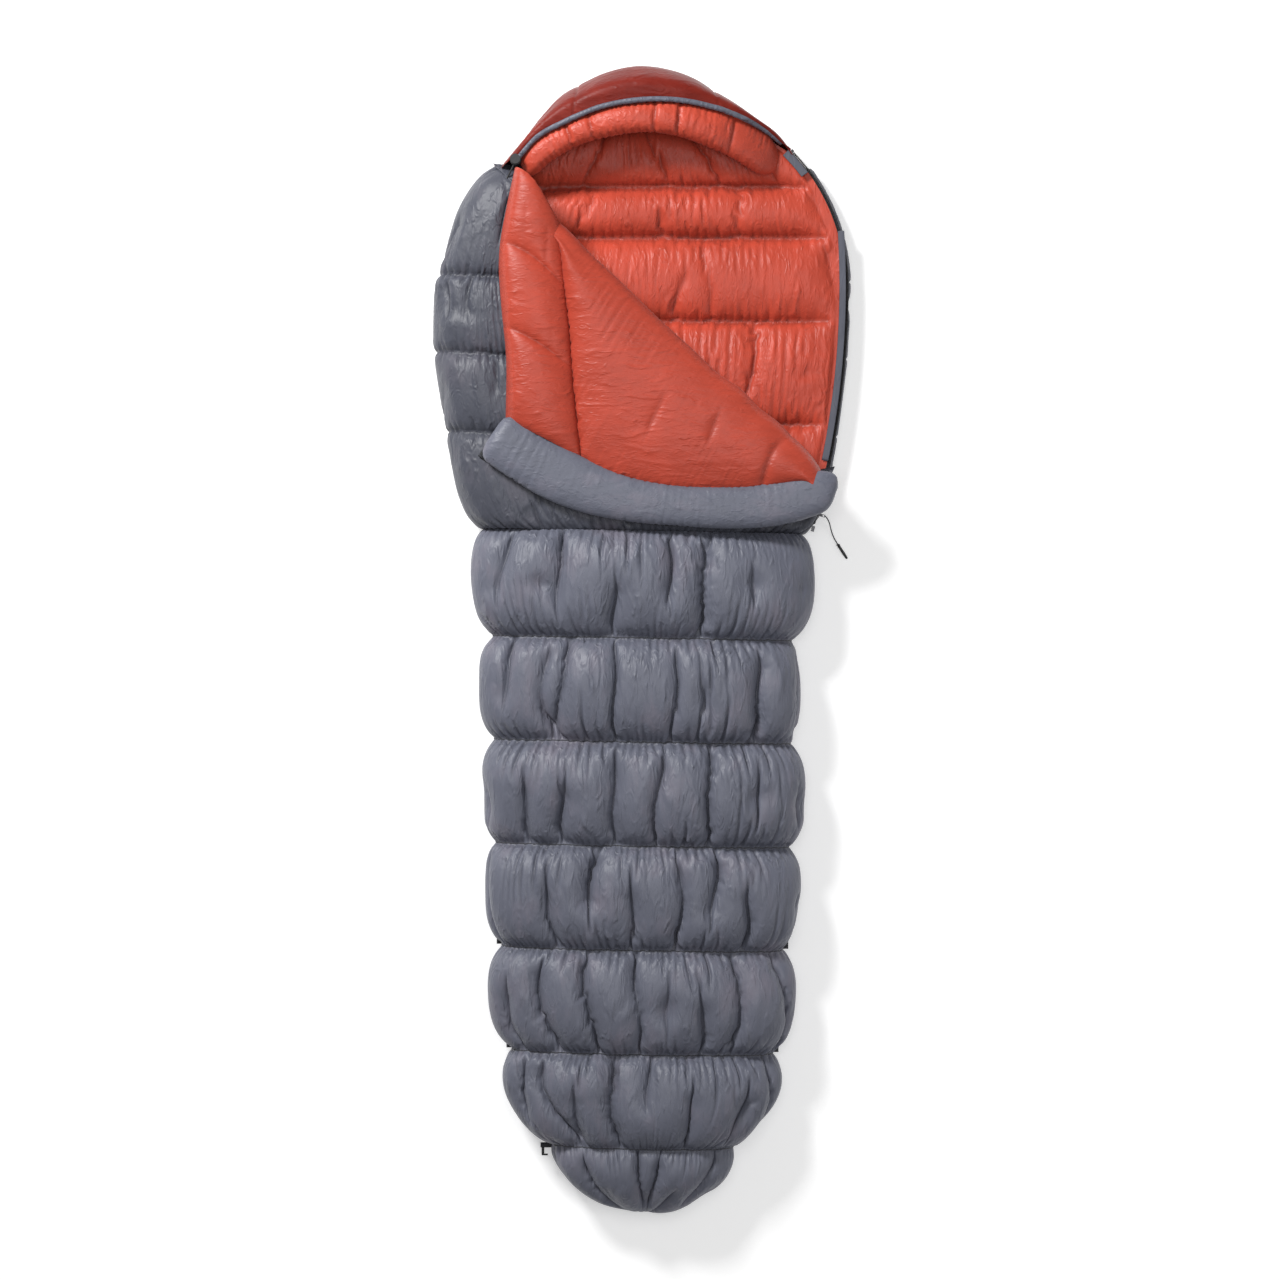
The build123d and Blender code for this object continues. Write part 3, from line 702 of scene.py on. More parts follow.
band_rows = 149
top_line, low_line = even_path(BAND_TOP, band_rows), even_path(BAND_LOW, band_rows)
apart = np.linalg.norm(low_line - top_line, axis=1)
middles = raised(0.5 * (top_line + low_line), np.full(band_rows, 0.1372))
guide = tube_guide(middles, 0.5 * apart, np.full(band_rows, 0.0150), (0.035, 0.075), 56,
                   (low_line - top_line) / apart[:, None])
band = quilted(guide, [0, band_rows - 1], 41, across=(1.01, 1.015, 1.02), along=1.03, wrap=True,
               pleat=0.0003, steps=(40, 30, 24), crease=0.0, push=0.00012, hold=0.03, roughness=0.0003,
               patchy=0.95, patch=(16, 10))
band[..., 2] = np.maximum(band[..., 2], 0.1214)
draft_band = mesh_object("zip_draft_band", band, wrap=True)


# ---------------------------------------------------------------- hood

HOOD_BASE = [[(-0.268, 0.862), (-0.217, 0.915), (-0.180, 0.964), (-0.146, 1.002), (-0.120, 1.020)],
             [(-0.120, 1.020), (-0.068, 1.040), (-0.006, 1.051), (0.049, 1.045), (0.098, 1.029),
              (0.131, 1.010)], [(0.131, 1.010), (0.167, 0.986), (0.209, 0.955), (0.252, 0.926),
                                (0.292, 0.880)]]
HOOD_RIM = [[(-0.229, 0.872, 0.118), (-0.193, 0.910, 0.127), (-0.127, 0.944, 0.138)],
            [(-0.127, 0.944, 0.138), (-0.078, 0.962, 0.145), (-0.028, 0.972, 0.149), (0.022, 0.976, 0.150),
             (0.072, 0.974, 0.146), (0.140, 0.962, 0.130)],
            [(0.140, 0.962, 0.130), (0.190, 0.946, 0.104), (0.229, 0.929, 0.078), (0.256, 0.911, 0.060)]]
PANEL_ROWS = (45, 57, 53)


def joined(parts, counts):
    """Smooth lines through several runs of points, one after the other."""
    lines = [even_path(part, count) for part, count in zip(parts, counts)]
    return np.concatenate([line[:-1] for line in lines[:-1]] + [lines[-1]])


base_line = joined(HOOD_BASE, PANEL_ROWS)
rim_line = joined(HOOD_RIM, PANEL_ROWS)
hood_marks = [0, PANEL_ROWS[0] - 1, PANEL_ROWS[0] + PANEL_ROWS[1] - 2, len(rim_line) - 1]
reach = np.linalg.norm(rim_line[:, :2] - base_line, axis=1)
inward = (rim_line[:, :2] - base_line) / reach[:, None]
inward = unit(soften(np.repeat(inward[:, None], 2, 1), 12)[:, 0])


def hood_rows(profile, columns):
    """Rows round the hood from (share of the reach, metres in, share of the height, metres up) points."""
    rows = []
    for base, way, far, rim in zip(base_line, inward, reach, rim_line):
        points = [np.array([*(base + way * (a * far + b)), d + e * rim[2]]) for a, b, e, d in profile]
        if profile[-1][0] == 1:
            points[-1] = rim
        if profile[0][0] == 1:
            points[0] = rim
        rows.append(even_path(points, columns))
    return np.array(rows)


lift = between_seams(np.arange(len(rim_line), dtype=float), hood_marks)
guide = hood_rows([(0, 0.022, 0, 0.001), (0, 0.003, 0.16, 0), (0, 0.004, 0.50, 0), (0.25, 0, 0.83, 0),
                   (0.62, 0, 1.03, 0), (1, 0, 1, 0)], 53)
dip = 0.005 * (rounded(lift) - 1)[:, None] * np.sin(np.linspace(0, math.pi, 53))
guide += normals(guide, False) * dip[..., None]
hood = quilted(guide, hood_marks, 43, across=(1.02, 1.024, 1.028), along=1.012, pleat=0.0003, pitch=5,
               steps=(40, 30, 24), crease=0.001, crease_count=2, held=held_edges(guide), push=0.00012,
               hold=0.03, roughness=0.0003, patchy=0.95)
hood_outer = mesh_object("hood_shell", hood)
guide = hood_rows([(1, 0, 1, 0), (0.85, 0.010, 0.83, 0), (0.55, 0.022, 0.62, 0), (0.40, 0.030, 0.42, 0),
                   (0.34, 0.034, 0, 0.030)], 41)
inside = quilted(guide, hood_marks, 47, across=(1.04, 1.06, 1.07), along=1.06, pleat=0.0006, pitch=5,
                 steps=(40, 30, 20), crease=0.004, crease_count=3, held=held_edges(guide), push=0.00010,
                 hold=0.04)
hood_inner = mesh_object("hood_lining_quilt", inside)

floor_line = base_line + inward * 0.022
across_line = np.stack([np.linspace(-0.262, 0.300, len(floor_line)), np.full(len(floor_line), 0.862)], 1)
v = np.linspace(0, 1, 25)[:, None, None]
plan = across_line[None] * (1 - v) + floor_line[None] * v
head_floor = raised(plan, np.full(plan.shape[:2], 0.0010))
hood_under = mesh_object("hood_underside", head_floor, flip=True)


def round_tube(name, line, radius, sides=12, close=True):
    """A tube of changing radius along a line of points."""
    line = np.array(line, float)
    way = unit(np.gradient(line, axis=0))
    up = UP + 0 * way
    right = unit(np.cross(way, up))
    top = np.cross(right, way)
    turn = np.linspace(0, 2 * math.pi, sides, endpoint=False)
    radius = np.broadcast_to(np.asarray(radius, float),
                             (len(line),) if np.ndim(radius) < 2 else np.shape(radius))
    size = radius[:, None] if radius.ndim == 1 else radius
    ring = right[:, None] * (np.cos(turn)[None] * size)[..., None]
    ring = ring + top[:, None] * (np.sin(turn)[None] * size)[..., None]
    x = line[:, None] + ring
    if close:
        x = np.concatenate([line[:1, None] + 0 * x[:1], x, line[-1:, None] + 0 * x[-1:]])
        x[0] += ring[0] * 0.02
        x[-1] += ring[-1] * 0.02
    return mesh_object(name, x, wrap=True, close_start=close)


# binding: a gathered channel round the face opening
random = np.random.RandomState(53)
binding_line = even_path([tuple(p) for p in rim_line[::6]] + [tuple(rim_line[-1])], 320)
turn = np.linspace(0, 2 * math.pi, 14, endpoint=False)
puckers = np.interp(np.arange(320), np.arange(0, 321, 2), random.uniform(-1, 1, 161))
size = 0.0050 + 0.0006 * puckers[:, None] * (0.6 + 0.4 * np.cos(turn)[None])
hood_binding = round_tube("hood_binding_channel", binding_line, size, 14)

# draft collar: a puffy roll inside the rim, pinched where it is sewn
COLLAR_FRONT = [(-0.205, 0.838), (-0.177, 0.864), (-0.113, 0.900), (-0.053, 0.915), (0.002, 0.921),
                (0.047, 0.917), (0.122, 0.896), (0.172, 0.876), (0.212, 0.856), (0.243, 0.844)]
collar_rows = 141
front_line = even_path(COLLAR_FRONT, collar_rows)
behind = even_path([tuple(p) for p in rim_line[::6]] + [tuple(rim_line[-1])], collar_rows)
behind_plan = behind[:, :2] - 0.003 * unit(behind[:, :2] - front_line)
apart = np.linalg.norm(behind_plan - front_line, axis=1)
middles = np.concatenate([0.5 * (front_line + behind_plan), behind[:, 2:3] - 0.021], 1)
pinches = [0, 28, 40, 72, 84, 112, 140]
lift = between_seams(np.arange(collar_rows, dtype=float), pinches)
plump = 0.80 + 0.20 * rounded(lift)
guide = tube_guide(middles, 0.5 * apart * (0.93 + 0.07 * plump), 0.021 * plump, (0.05, 0.08), 52,
                   (front_line - behind_plan) / apart[:, None])
collar = quilted(guide, pinches, 59, across=(1.02, 1.03, 1.035), along=1.065, wrap=True, pleat=0.0006,
                 pitch=4.5, steps=(40, 34, 26), crease=0.003, crease_count=3, push=0.00018, hold=0.022,
                 roughness=0.0004, patchy=0.9, patch=(12, 10))
draft_collar = mesh_object("draft_collar_roll", collar, wrap=True)


# ---------------------------------------------------------------- linings inside

def inside_section(left, right, low, high, columns):
    """A flat-bottomed closed section inside the walls, left to right over the top."""
    turn = np.linspace(math.pi, -math.pi, 361)
    c, s = np.cos(turn), np.sin(turn)
    x = 0.5 * (left + right) + 0.5 * (right - left) * np.sign(c) * np.abs(c) ** 0.6
    z = 0.5 * (low + high) + 0.5 * (high - low) * np.sign(s) * np.abs(s) ** 0.7
    return spread(np.stack([x, z], 1), (columns // 2, columns // 2), (0, 180, 360))


# inside the legs: a closed sock of lining with a soft pinch at each seam
SOCK_SEAMS = [-0.990, *LEG_SEAMS[:-1], 0.180]
sock_ys = rows_between(SOCK_SEAMS, 0.012)[0]
sock_lift = between_seams(sock_ys, SOCK_SEAMS)
sock_rows = []
for y, share in zip(sock_ys, sock_lift):
    half = float(curve_through(LEG_HALVES, np.array([min(y, 0.18)]))[0]) - 0.040
    section = inside_section(-half, half, 0.040, 0.074 + 0.010 * share, 96)
    sock_rows.append(upright(section, y))
sock = np.array(sock_rows)
random = np.random.RandomState(61)
sock += normals(sock, True) * 0.003 * smooth_noise(random, *sock.shape[:2], 50, 40, True)[..., None]
leg_lining = mesh_object("leg_lining_sock", sock, wrap=True, close_start=True, flip=True)

# under the front of the chest: from the left side seam over to the fold
front_ys = np.linspace(0.224, 0.846, 97)
lefts = curve_through(LEFT_EDGE, front_ys)
front_rows = []
for y, left in zip(front_ys, lefts):
    right = right_edge(y)
    inner = FOLD_SUM - y - 0.028
    end = min(inner, shell_edge(y) - 0.075)
    high = 0.076
    closing = np.clip((0.275 - y) / 0.06, 0, 1)
    last = high * (1 - closing) + 0.048 * closing
    knots = [(left + 0.044, 0.038), (left + 0.046, 0.055), (left + 0.085, high),
             (0.5 * (left + end), high), (end - 0.03 * closing, high), (end + 0.004, last)]
    front_rows.append(upright(even_path(knots, 81), y))
front = np.array(front_rows)
front += normals(front, False) * 0.0022 * smooth_noise(random, *front.shape[:2], 60, 40, False)[..., None]
front_lining = mesh_object("front_lining_quilt", front, flip=True)


# ---------------------------------------------------------------- zip

def arc_line(arc, first, last, count, z):
    turn = np.radians(np.linspace(first, last, count))
    return np.stack([arc[0] + arc[2] * np.cos(turn), arc[1] + arc[2] * np.sin(turn), 0 * turn + z], 1)


def shifted_in(line, distance, up=0.0):
    """A level line moved to its left, which is into the bag on the zip side."""
    return line + leftward(line) * distance + UP * up


def strip_mesh(name, line, near, far, thick, up, ripple, seed):
    """A flat woven strip beside a line, with rounded edges and a slight ripple."""
    random = np.random.RandomState(seed)
    knots = np.arange(0, len(line) + 6, 6)
    wave = ripple * np.interp(np.arange(len(line)), knots, random.uniform(-1, 1, len(knots)))
    half = thick / 2
    middle = 0.5 * (near + far)
    ring = [(near, 0), (near + half, half), (near + 2 * half, half * 1.1), (middle, half * 1.2),
            (far - 2 * half, half * 1.1), (far - half, half), (far, 0), (far - half, -half),
            (middle, -half), (near + half, -half)]
    x = np.stack([shifted_in(line, d, up + h) + wave[:, None] * UP for d, h in ring], 1)
    return mesh_object(name, x, wrap=True, close_start=True)


def coil_mesh(name, line, middle, wide, tall, pitch, thread):
    """The zip's coil: a flattened spiral of nylon thread along a line."""
    run = run_along(line)
    turns = int(run[-1] / pitch)
    centre = points_at(np.linspace(0, run[-1], turns * 10 + 1), run, line)
    phase = np.linspace(0, 2 * math.pi * turns, len(centre))
    across = (middle + wide * np.cos(phase))[:, None]
    spiral = centre + leftward(centre) * across + UP * (tall * np.sin(phase))[:, None]
    return round_tube(name, spiral, thread, 5)


track = np.concatenate([arc_line(LONG_ARC, -15.8, 0, 260, ZIP_Z)[:-1],
                        arc_line(RIGHT_ARC, 0, 44, 160, ZIP_Z)])
coil_back = coil_mesh("zip_coil_back_side", track, 0.0020, 0.0015, 0.0015, 0.0021, 0.00062)
tape_back = strip_mesh("zip_tape_back_side", track, 0.0040, 0.0185, 0.0012, 0.0, 0.0002, 71)
LOWER_FACING, UPPER_FACING = (-11.6, 3.6), (36.5, 45.5)
lower_facing = strip_mesh("zip_facing_lower", arc_line(LONG_ARC, *LOWER_FACING, 90, ZIP_Z), 0.0048,
                          0.0170, 0.0010, 0.0050, 0.0003, 72)
upper_facing = strip_mesh("zip_facing_upper", arc_line(RIGHT_ARC, *UPPER_FACING, 40, ZIP_Z), 0.0068,
                          0.0215, 0.0010, 0.0135, 0.0003, 73)


def arc_through(a, b, c, count):
    """Points on the circle through three plan points, from the first to the last."""
    (ax, ay), (bx, by), (cx, cy) = a, b, c
    d = 2 * (ax * (by - cy) + bx * (cy - ay) + cx * (ay - by))
    aa, bb, cc = ax * ax + ay * ay, bx * bx + by * by, cx * cx + cy * cy
    ux = (aa * (by - cy) + bb * (cy - ay) + cc * (ay - by)) / d
    uy = (aa * (cx - bx) + bb * (ax - cx) + cc * (bx - ax)) / d
    angles = np.unwrap([math.atan2(y - uy, x - ux) for x, y in (a, b, c)])
    turn = np.linspace(angles[0], angles[2], count)
    radius = math.hypot(ax - ux, ay - uy)
    return np.stack([ux + radius * np.cos(turn), uy + radius * np.sin(turn)], 1)


front_plan = arc_through((-0.300, 0.331), (0, 0.208), (0.318, 0.249), 240)
front_track = raised(front_plan, np.full(240, FLAP_LOWEST))
coil_front = coil_mesh("zip_coil_flap_side", front_track, 0.0020, 0.0015, 0.0010, 0.0021, 0.00050)
tape_front = strip_mesh("zip_tape_flap_side", front_track, 0.0045, 0.0185, 0.0009, 0.0006, 0.0, 74)


# ---------------------------------------------------------------- pull cord and its grip

PULL_ROUTE = [(0.3374, 0.2241, 0.0486), (0.3414, 0.2199, 0.0440), (0.3457, 0.2125, 0.0340),
              (0.3484, 0.2035, 0.0220), (0.3519, 0.1933, 0.0120), (0.3572, 0.1825, 0.0060),
              (0.3638, 0.1724, 0.0046)]
CORD_RADIUS = 0.0011
curve = bpy.data.curves.new("pull_cord_line", "CURVE")
curve.dimensions = "3D"
spline = curve.splines.new("NURBS")
spline.points.add(len(PULL_ROUTE) - 1)
for point, place in zip(spline.points, PULL_ROUTE):
    point.co = (*place, 1)
spline.order_u = 3
spline.use_endpoint_u = True
curve.resolution_u = 16
curve.bevel_depth = CORD_RADIUS
curve.bevel_resolution = 4
curve.use_fill_caps = True
pull_cord = add("pull_cord_line", curve)

grip_way = unit(np.array([PULL_ROUTE[-1][0] - PULL_ROUTE[-2][0], PULL_ROUTE[-1][1] - PULL_ROUTE[-2][1], 0]))
grip_start = np.array(PULL_ROUTE[-1])
s = np.linspace(0, 1, 61)
body = 0.0016 + 0.0012 * np.sin(math.pi * np.clip(s * 1.02, 0, 1)) ** 0.35
ribs = 0.00022 * (np.sin(2 * math.pi * s * 9) > 0) * (s > 0.35) * (s < 0.9)
grip_line = grip_start + grip_way * (s * 0.030)[:, None]
grip_line[:, 2] = 0.0046 - 0.0014 * s
pull_grip = round_tube("pull_grip_moulded", grip_line, body - ribs, 16)
knot_turn = np.linspace(0, 4.4 * math.pi, 60)
side_way = np.array([-grip_way[1], grip_way[0], 0])
knot_middle = grip_start + grip_way * 0.0005
knot_line = knot_middle + side_way * (0.0022 * np.cos(knot_turn))[:, None]
knot_line += UP * (0.0016 * np.sin(knot_turn))[:, None]
knot_line += grip_way * (0.0022 * np.sin(knot_turn * 0.5 + 0.4))[:, None]
pull_knot = round_tube("pull_cord_knot", knot_line, 0.0010, 8)

cord_end = np.array([-0.247, 0.838, 0.110])
drawcord_line = np.concatenate([np.linspace(cord_end, binding_line[0], 14)[:-1], binding_line])
drawcord = round_tube("hood_drawcord_braid", drawcord_line, 0.0016, 10)


# ---------------------------------------------------------------- seams and webbing

def seam_thread(name, rows, radius):
    """A sewn line of elastic along one row of a solved quilt, standing just proud of it."""
    out = normals(leg, True)
    lines = []
    for row in rows:
        ring = leg[row] + out[row] * 0.0004
        ring[:, 2] = np.maximum(ring[:, 2], 0.0015)
        ring = np.concatenate([ring, ring[:1]])
        beads = radius * (1 + 0.22 * np.sin(np.arange(len(ring)) * 2.1))
        lines.append(round_tube(name, ring, beads, 6, close=False))
    first = lines[0]
    chosen = {"selected_objects": lines, "selected_editable_objects": lines}
    with bpy.context.temp_override(active_object=first, object=first, **chosen):
        bpy.ops.object.join()
    return first


elastics = seam_thread("seam_elastic_threads", leg_marks[1:-1], 0.0011)


def loop_mesh(name, middle, out, along, size, width, thick):
    """A strip of webbing folded into a flat loop that stands out from a seam."""
    turn = np.linspace(-0.5 * math.pi, 0.5 * math.pi, 11)
    bend, tail = 0.0014, -0.006
    bow = [(size - bend + bend * math.cos(a), bend * math.sin(a)) for a in turn]
    path = np.array([(tail, -bend), *bow, (tail, bend)])
    way = unit(np.gradient(path, axis=0))
    side = np.stack([-way[:, 1], way[:, 0]], 1)
    ring = []
    for w, t in ((-0.5, -0.5), (-0.47, 0.5), (0.47, 0.5), (0.5, -0.5)):
        flat = path + side * (t * thick)
        ring.append(middle + out * flat[:, :1] + UP * flat[:, 1:] + along * (w * width))
    return mesh_object(name, np.stack(ring, 1), wrap=True, close_start=True)


loops = []
for name, y in (("upper", -0.560), ("lower", -0.751)):
    for side in (-1, 1):
        half = float(curve_through(LEG_HALVES, np.array([y]))[0])
        middle = np.array([side * half, y - SLOPE * side * half, 0.035])
        loops.append(loop_mesh(f"length_loop_{name}_{'left' if side < 0 else 'right'}", middle,
                               np.array([side, 0, 0]), np.array([0, 1, 0]), 0.0085, 0.019, 0.0012))
hook_tab = loop_mesh("foot_hook_tab", np.array([-0.172, -0.936, 0.0385]), np.array([-1, 0, 0]),
                     np.array([0, 1, 0]), 0.016, 0.009, 0.0010)

# the cord lock's spring, which shortens when its button is pressed
low, high = [np.array(corner, float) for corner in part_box("cord_lock_spring")]
turn = np.linspace(0, 5.2 * math.pi, 131)
wide = 0.5 * (high - low)[0] - 0.0004
coil = np.stack([0.5 * (low + high)[0] + wide * np.cos(turn), 0.5 * (low + high)[1] + wide * np.sin(turn),
                 np.linspace(low[2] + 0.0004, high[2] - 0.0006, 131)], 1)
lock_spring = round_tube("lock_spring_coil", coil, 0.0004, 8)



# ---------------------------------------------------------------- materials

class Nodes:
    """A material's node tree, with short calls for adding and joining nodes."""

    def __init__(self, name):
        self.material = bpy.data.materials.new(name)
        self.material.use_nodes = True
        self.tree = self.material.node_tree
        self.surface = self.tree.nodes["Principled BSDF"]
        self.place = self.add("ShaderNodeTexCoord").outputs["Object"]

    def add(self, kind, inputs=None, **settings):
        node = self.tree.nodes.new(kind)
        for key, value in settings.items():
            setattr(node, key, value)
        for key, value in (inputs or {}).items():
            if isinstance(value, bpy.types.NodeSocket):
                self.tree.links.new(value, node.inputs[key])
            else:
                node.inputs[key].default_value = value
        return node

    def scaled(self, scale, turn=0.0):
        mapping = self.add("ShaderNodeMapping", {"Vector": self.place})
        mapping.inputs["Scale"].default_value = scale
        mapping.inputs["Rotation"].default_value = (0, 0, turn)
        return mapping.outputs["Vector"]

    def noise(self, vector, size, detail=3.0, rough=0.55, distort=0.0, kind="FBM"):
        node = self.add("ShaderNodeTexNoise", {"Vector": vector, "Scale": size, "Detail": detail,
                                               "Roughness": rough, "Distortion": distort}, noise_type=kind)
        return node.outputs["Fac"]

    def ramp(self, value, stops):
        node = self.add("ShaderNodeValToRGB", {"Fac": value})
        elements = node.color_ramp.elements
        while len(elements) < len(stops):
            elements.new(0.5)
        for element, (position, colour) in zip(elements, stops):
            element.position = position
            element.color = (*colour, 1)
        return node.outputs["Color"]

    def bump(self, height, strength, distance, before=None):
        inputs = {"Height": height, "Strength": strength, "Distance": distance}
        if before is not None:
            inputs["Normal"] = before
        return self.add("ShaderNodeBump", inputs).outputs["Normal"]

    def maths(self, operation, a, b):
        return self.add("ShaderNodeMath", {0: a, 1: b}, operation=operation).outputs["Value"]

    def tinted(self, colour, by):
        return self.add("ShaderNodeVectorMath", {0: colour, 1: by}, operation="MULTIPLY").outputs["Vector"]

    def between(self, value, low, high):
        return self.add("ShaderNodeMapRange", {"Value": value, "To Min": low,
                                               "To Max": high}).outputs["Result"]

    def to(self, key, value):
        if isinstance(value, bpy.types.NodeSocket):
            self.tree.links.new(value, self.surface.inputs[key])
        else:
            self.surface.inputs[key].default_value = value


def shade(colour, by):
    return tuple(min(1.0, c * by) for c in colour)


def woven(nodes, pitch, strength, before):
    """Two crossing sets of threads."""
    size = 0.314 / pitch
    warp = nodes.add("ShaderNodeTexWave", {"Vector": nodes.place, "Scale": size}, bands_direction="X")
    weft = nodes.add("ShaderNodeTexWave", {"Vector": nodes.place, "Scale": size}, bands_direction="Y")
    threads = nodes.maths("MULTIPLY", warp.outputs["Fac"], weft.outputs["Fac"])
    return nodes.bump(threads, strength, 0.0002, before)


def nylon(name, colour, flow=(1, 1, 1), turn=0.0, crinkle=1.0, rough=0.42, gloss=0.5, tint=None):
    """Thin downproof nylon: crinkled, faintly shiny, with a plain weave, uneven colour, painted shade in its
    creases and along its crinkle lines, and a painted highlight on its ridges.
    """
    n = Nodes(name)
    stretched = n.scaled(flow, turn)
    broad = n.noise(n.place, 9, 2)
    streaks = n.noise(stretched, 46, 4, 0.6, 0.4)
    mixed = n.maths("ADD", n.maths("MULTIPLY", broad, 0.55), n.maths("MULTIPLY", streaks, 0.45))
    tint = tint or shade(colour, 1.18)
    dyed = n.ramp(mixed, [(0.30, shade(colour, 0.88)), (0.5, colour), (0.70, tint)])
    # painted shade and highlight: the colour is darkened in hollow creases and lightened on sharp ridges, by
    # how pointed the mesh is there
    point = n.add("ShaderNodeNewGeometry").outputs["Pointiness"]
    crease_shade_ridge_light = n.ramp(point, [(0.40, (0.42, 0.42, 0.45)), (0.495, (0.92,) * 3), (0.53, (1.0,) * 3),
                          (0.60, (1.22,) * 3)])
    creased = n.noise(stretched, 34, 5, 0.6, 0.8, "RIDGED_MULTIFRACTAL")
    crumpled = n.noise(stretched, 85, 4, 0.6, 1.2, "RIDGED_MULTIFRACTAL")
    fine = n.noise(stretched, 190, 3, 0.6, 0.5)
    # painted shade: thin darker lines along the crinkle ridges, a little lighter between them
    lines = n.ramp(crumpled, [(0.30, (1.06,) * 3), (0.62, (0.96,) * 3), (0.95, (0.74, 0.74, 0.76))])
    n.to("Base Color", n.tinted(n.tinted(dyed, crease_shade_ridge_light), lines))
    normal = n.bump(creased, min(1.0, 0.9 * crinkle), 0.0058)
    normal = n.bump(crumpled, min(1.0, 0.9 * crinkle), 0.0026, normal)
    normal = n.bump(fine, min(1.0, 0.6 * crinkle), 0.0009, normal)
    n.to("Normal", woven(n, 0.0011, 0.10, normal))
    n.to("Roughness", n.between(streaks, rough - 0.07, rough + 0.1))
    n.to("Specular IOR Level", gloss)
    n.to("Sheen Weight", 0.04)
    n.to("Sheen Roughness", 0.5)
    return n.material


def webbing(name, colour, pitch=0.0016, rough=0.7):
    """Ribbed woven tape with a fuzzy face."""
    n = Nodes(name)
    ribs = n.add("ShaderNodeTexWave", {"Vector": n.place, "Scale": 0.314 / pitch, "Distortion": 0.6},
                 bands_direction="DIAGONAL")
    fluff = n.noise(n.place, 900, 2)
    dust = n.noise(n.place, 60, 3)
    n.to("Base Color", n.ramp(dust, [(0.35, shade(colour, 0.8)), (0.65, shade(colour, 1.25))]))
    normal = n.bump(ribs.outputs["Fac"], 0.6, 0.0004)
    n.to("Normal", n.bump(fluff, 0.3, 0.0002, normal))
    n.to("Roughness", rough)
    n.to("Sheen Weight", 0.2)
    return n.material


def moulded(name, colour, rough=0.4, metallic=0.0):
    """Moulded plastic or painted metal, with a grain and rubbed patches."""
    n = Nodes(name)
    grain = n.noise(n.place, 700, 3)
    rubbed = n.noise(n.place, 120, 4, 0.6, 0.5)
    n.to("Base Color", n.ramp(rubbed, [(0.4, colour), (0.72, shade(colour, 1.7))]))
    n.to("Roughness", n.between(rubbed, rough - 0.1, rough + 0.16))
    n.to("Metallic", metallic)
    n.to("Normal", n.bump(grain, 0.18, 0.0002))
    return n.material


def paper(name, colour):
    """The studio's matt floor."""
    n = Nodes(name)
    tone = n.noise(n.place, 3, 2)
    n.to("Base Color", n.ramp(tone, [(0.3, shade(colour, 0.99)), (0.7, colour)]))
    n.to("Roughness", 0.9)
    n.to("Emission Color", (1, 1, 1, 1))
    n.to("Emission Strength", 0.36)
    return n.material


GREY = (0.116, 0.122, 0.157)
GREY_LIGHT = (0.156, 0.147, 0.184)
ORANGE = (0.450, 0.056, 0.030)
RUST = (0.150, 0.013, 0.008)
looks = {
    "shell": nylon("shell_nylon", GREY, (1, 0.28, 1), crinkle=1.0, rough=0.46, gloss=0.38, tint=GREY_LIGHT),
    # painted shade: a darker copy of the grey shell fabric, for the chest whose visible left strip lies in
    # shade; the shell under the folded corner uses it too
    "shaded_shell": nylon("shaded_shell_nylon", shade(GREY, 0.54), (1, 0.5, 1), 0.5, 0.70, 0.44, 0.32,
                      shade(GREY_LIGHT, 0.58)),
    "lining": nylon("lining_nylon", ORANGE, (1.3, 0.45, 1), 0.2, 0.62, 0.43, 0.30),
    "flap": nylon("flap_lining_nylon", shade(ORANGE, 0.87), (0.55, 1.6, 1), 0.75, 0.42, 0.42, 0.30),
    "hood": nylon("hood_nylon", RUST, (0.5, 1, 1), 0.0, 0.40, 0.40, 0.14, (0.20, 0.020, 0.012)),
    "band": nylon("band_nylon", GREY, (0.8, 1.3, 1), 0.3, 0.38, 0.44, 0.38, GREY_LIGHT),
    "collar": nylon("collar_nylon", ORANGE, (1, 1, 1), 0.0, 0.50, 0.42, 0.34),
    "facing": nylon("facing_nylon", shade(GREY, 0.75), (1, 0.3, 1), 0.0, 0.4, 0.55, 0.35),
    "binding": nylon("binding_nylon", shade(GREY, 1.15), (1, 1, 1), 0.0, 0.9, 0.45, 0.4),
    "tape": webbing("zip_tape_weave", (0.016, 0.017, 0.020)),
    "loop": webbing("loop_webbing", (0.030, 0.031, 0.036), 0.0022),
    "elastic": webbing("seam_elastic_thread", (0.035, 0.036, 0.045), 0.0012),
    "cord": webbing("black_cord_braid", (0.010, 0.010, 0.011), 0.0009),
    "coil": moulded("zip_coil_nylon", (0.012, 0.012, 0.014), 0.35),
    "plastic": moulded("black_plastic", (0.010, 0.010, 0.011), 0.42),
    "metal": moulded("dark_metal", (0.060, 0.060, 0.064), 0.35, 0.9),
    "floor": paper("studio_paper", (0.84, 0.84, 0.84)),
    "steel": moulded("spring_steel", (0.50, 0.50, 0.52), 0.3, 1.0),
}


# ---------------------------------------------------------------- finish of each piece, and what it rides on

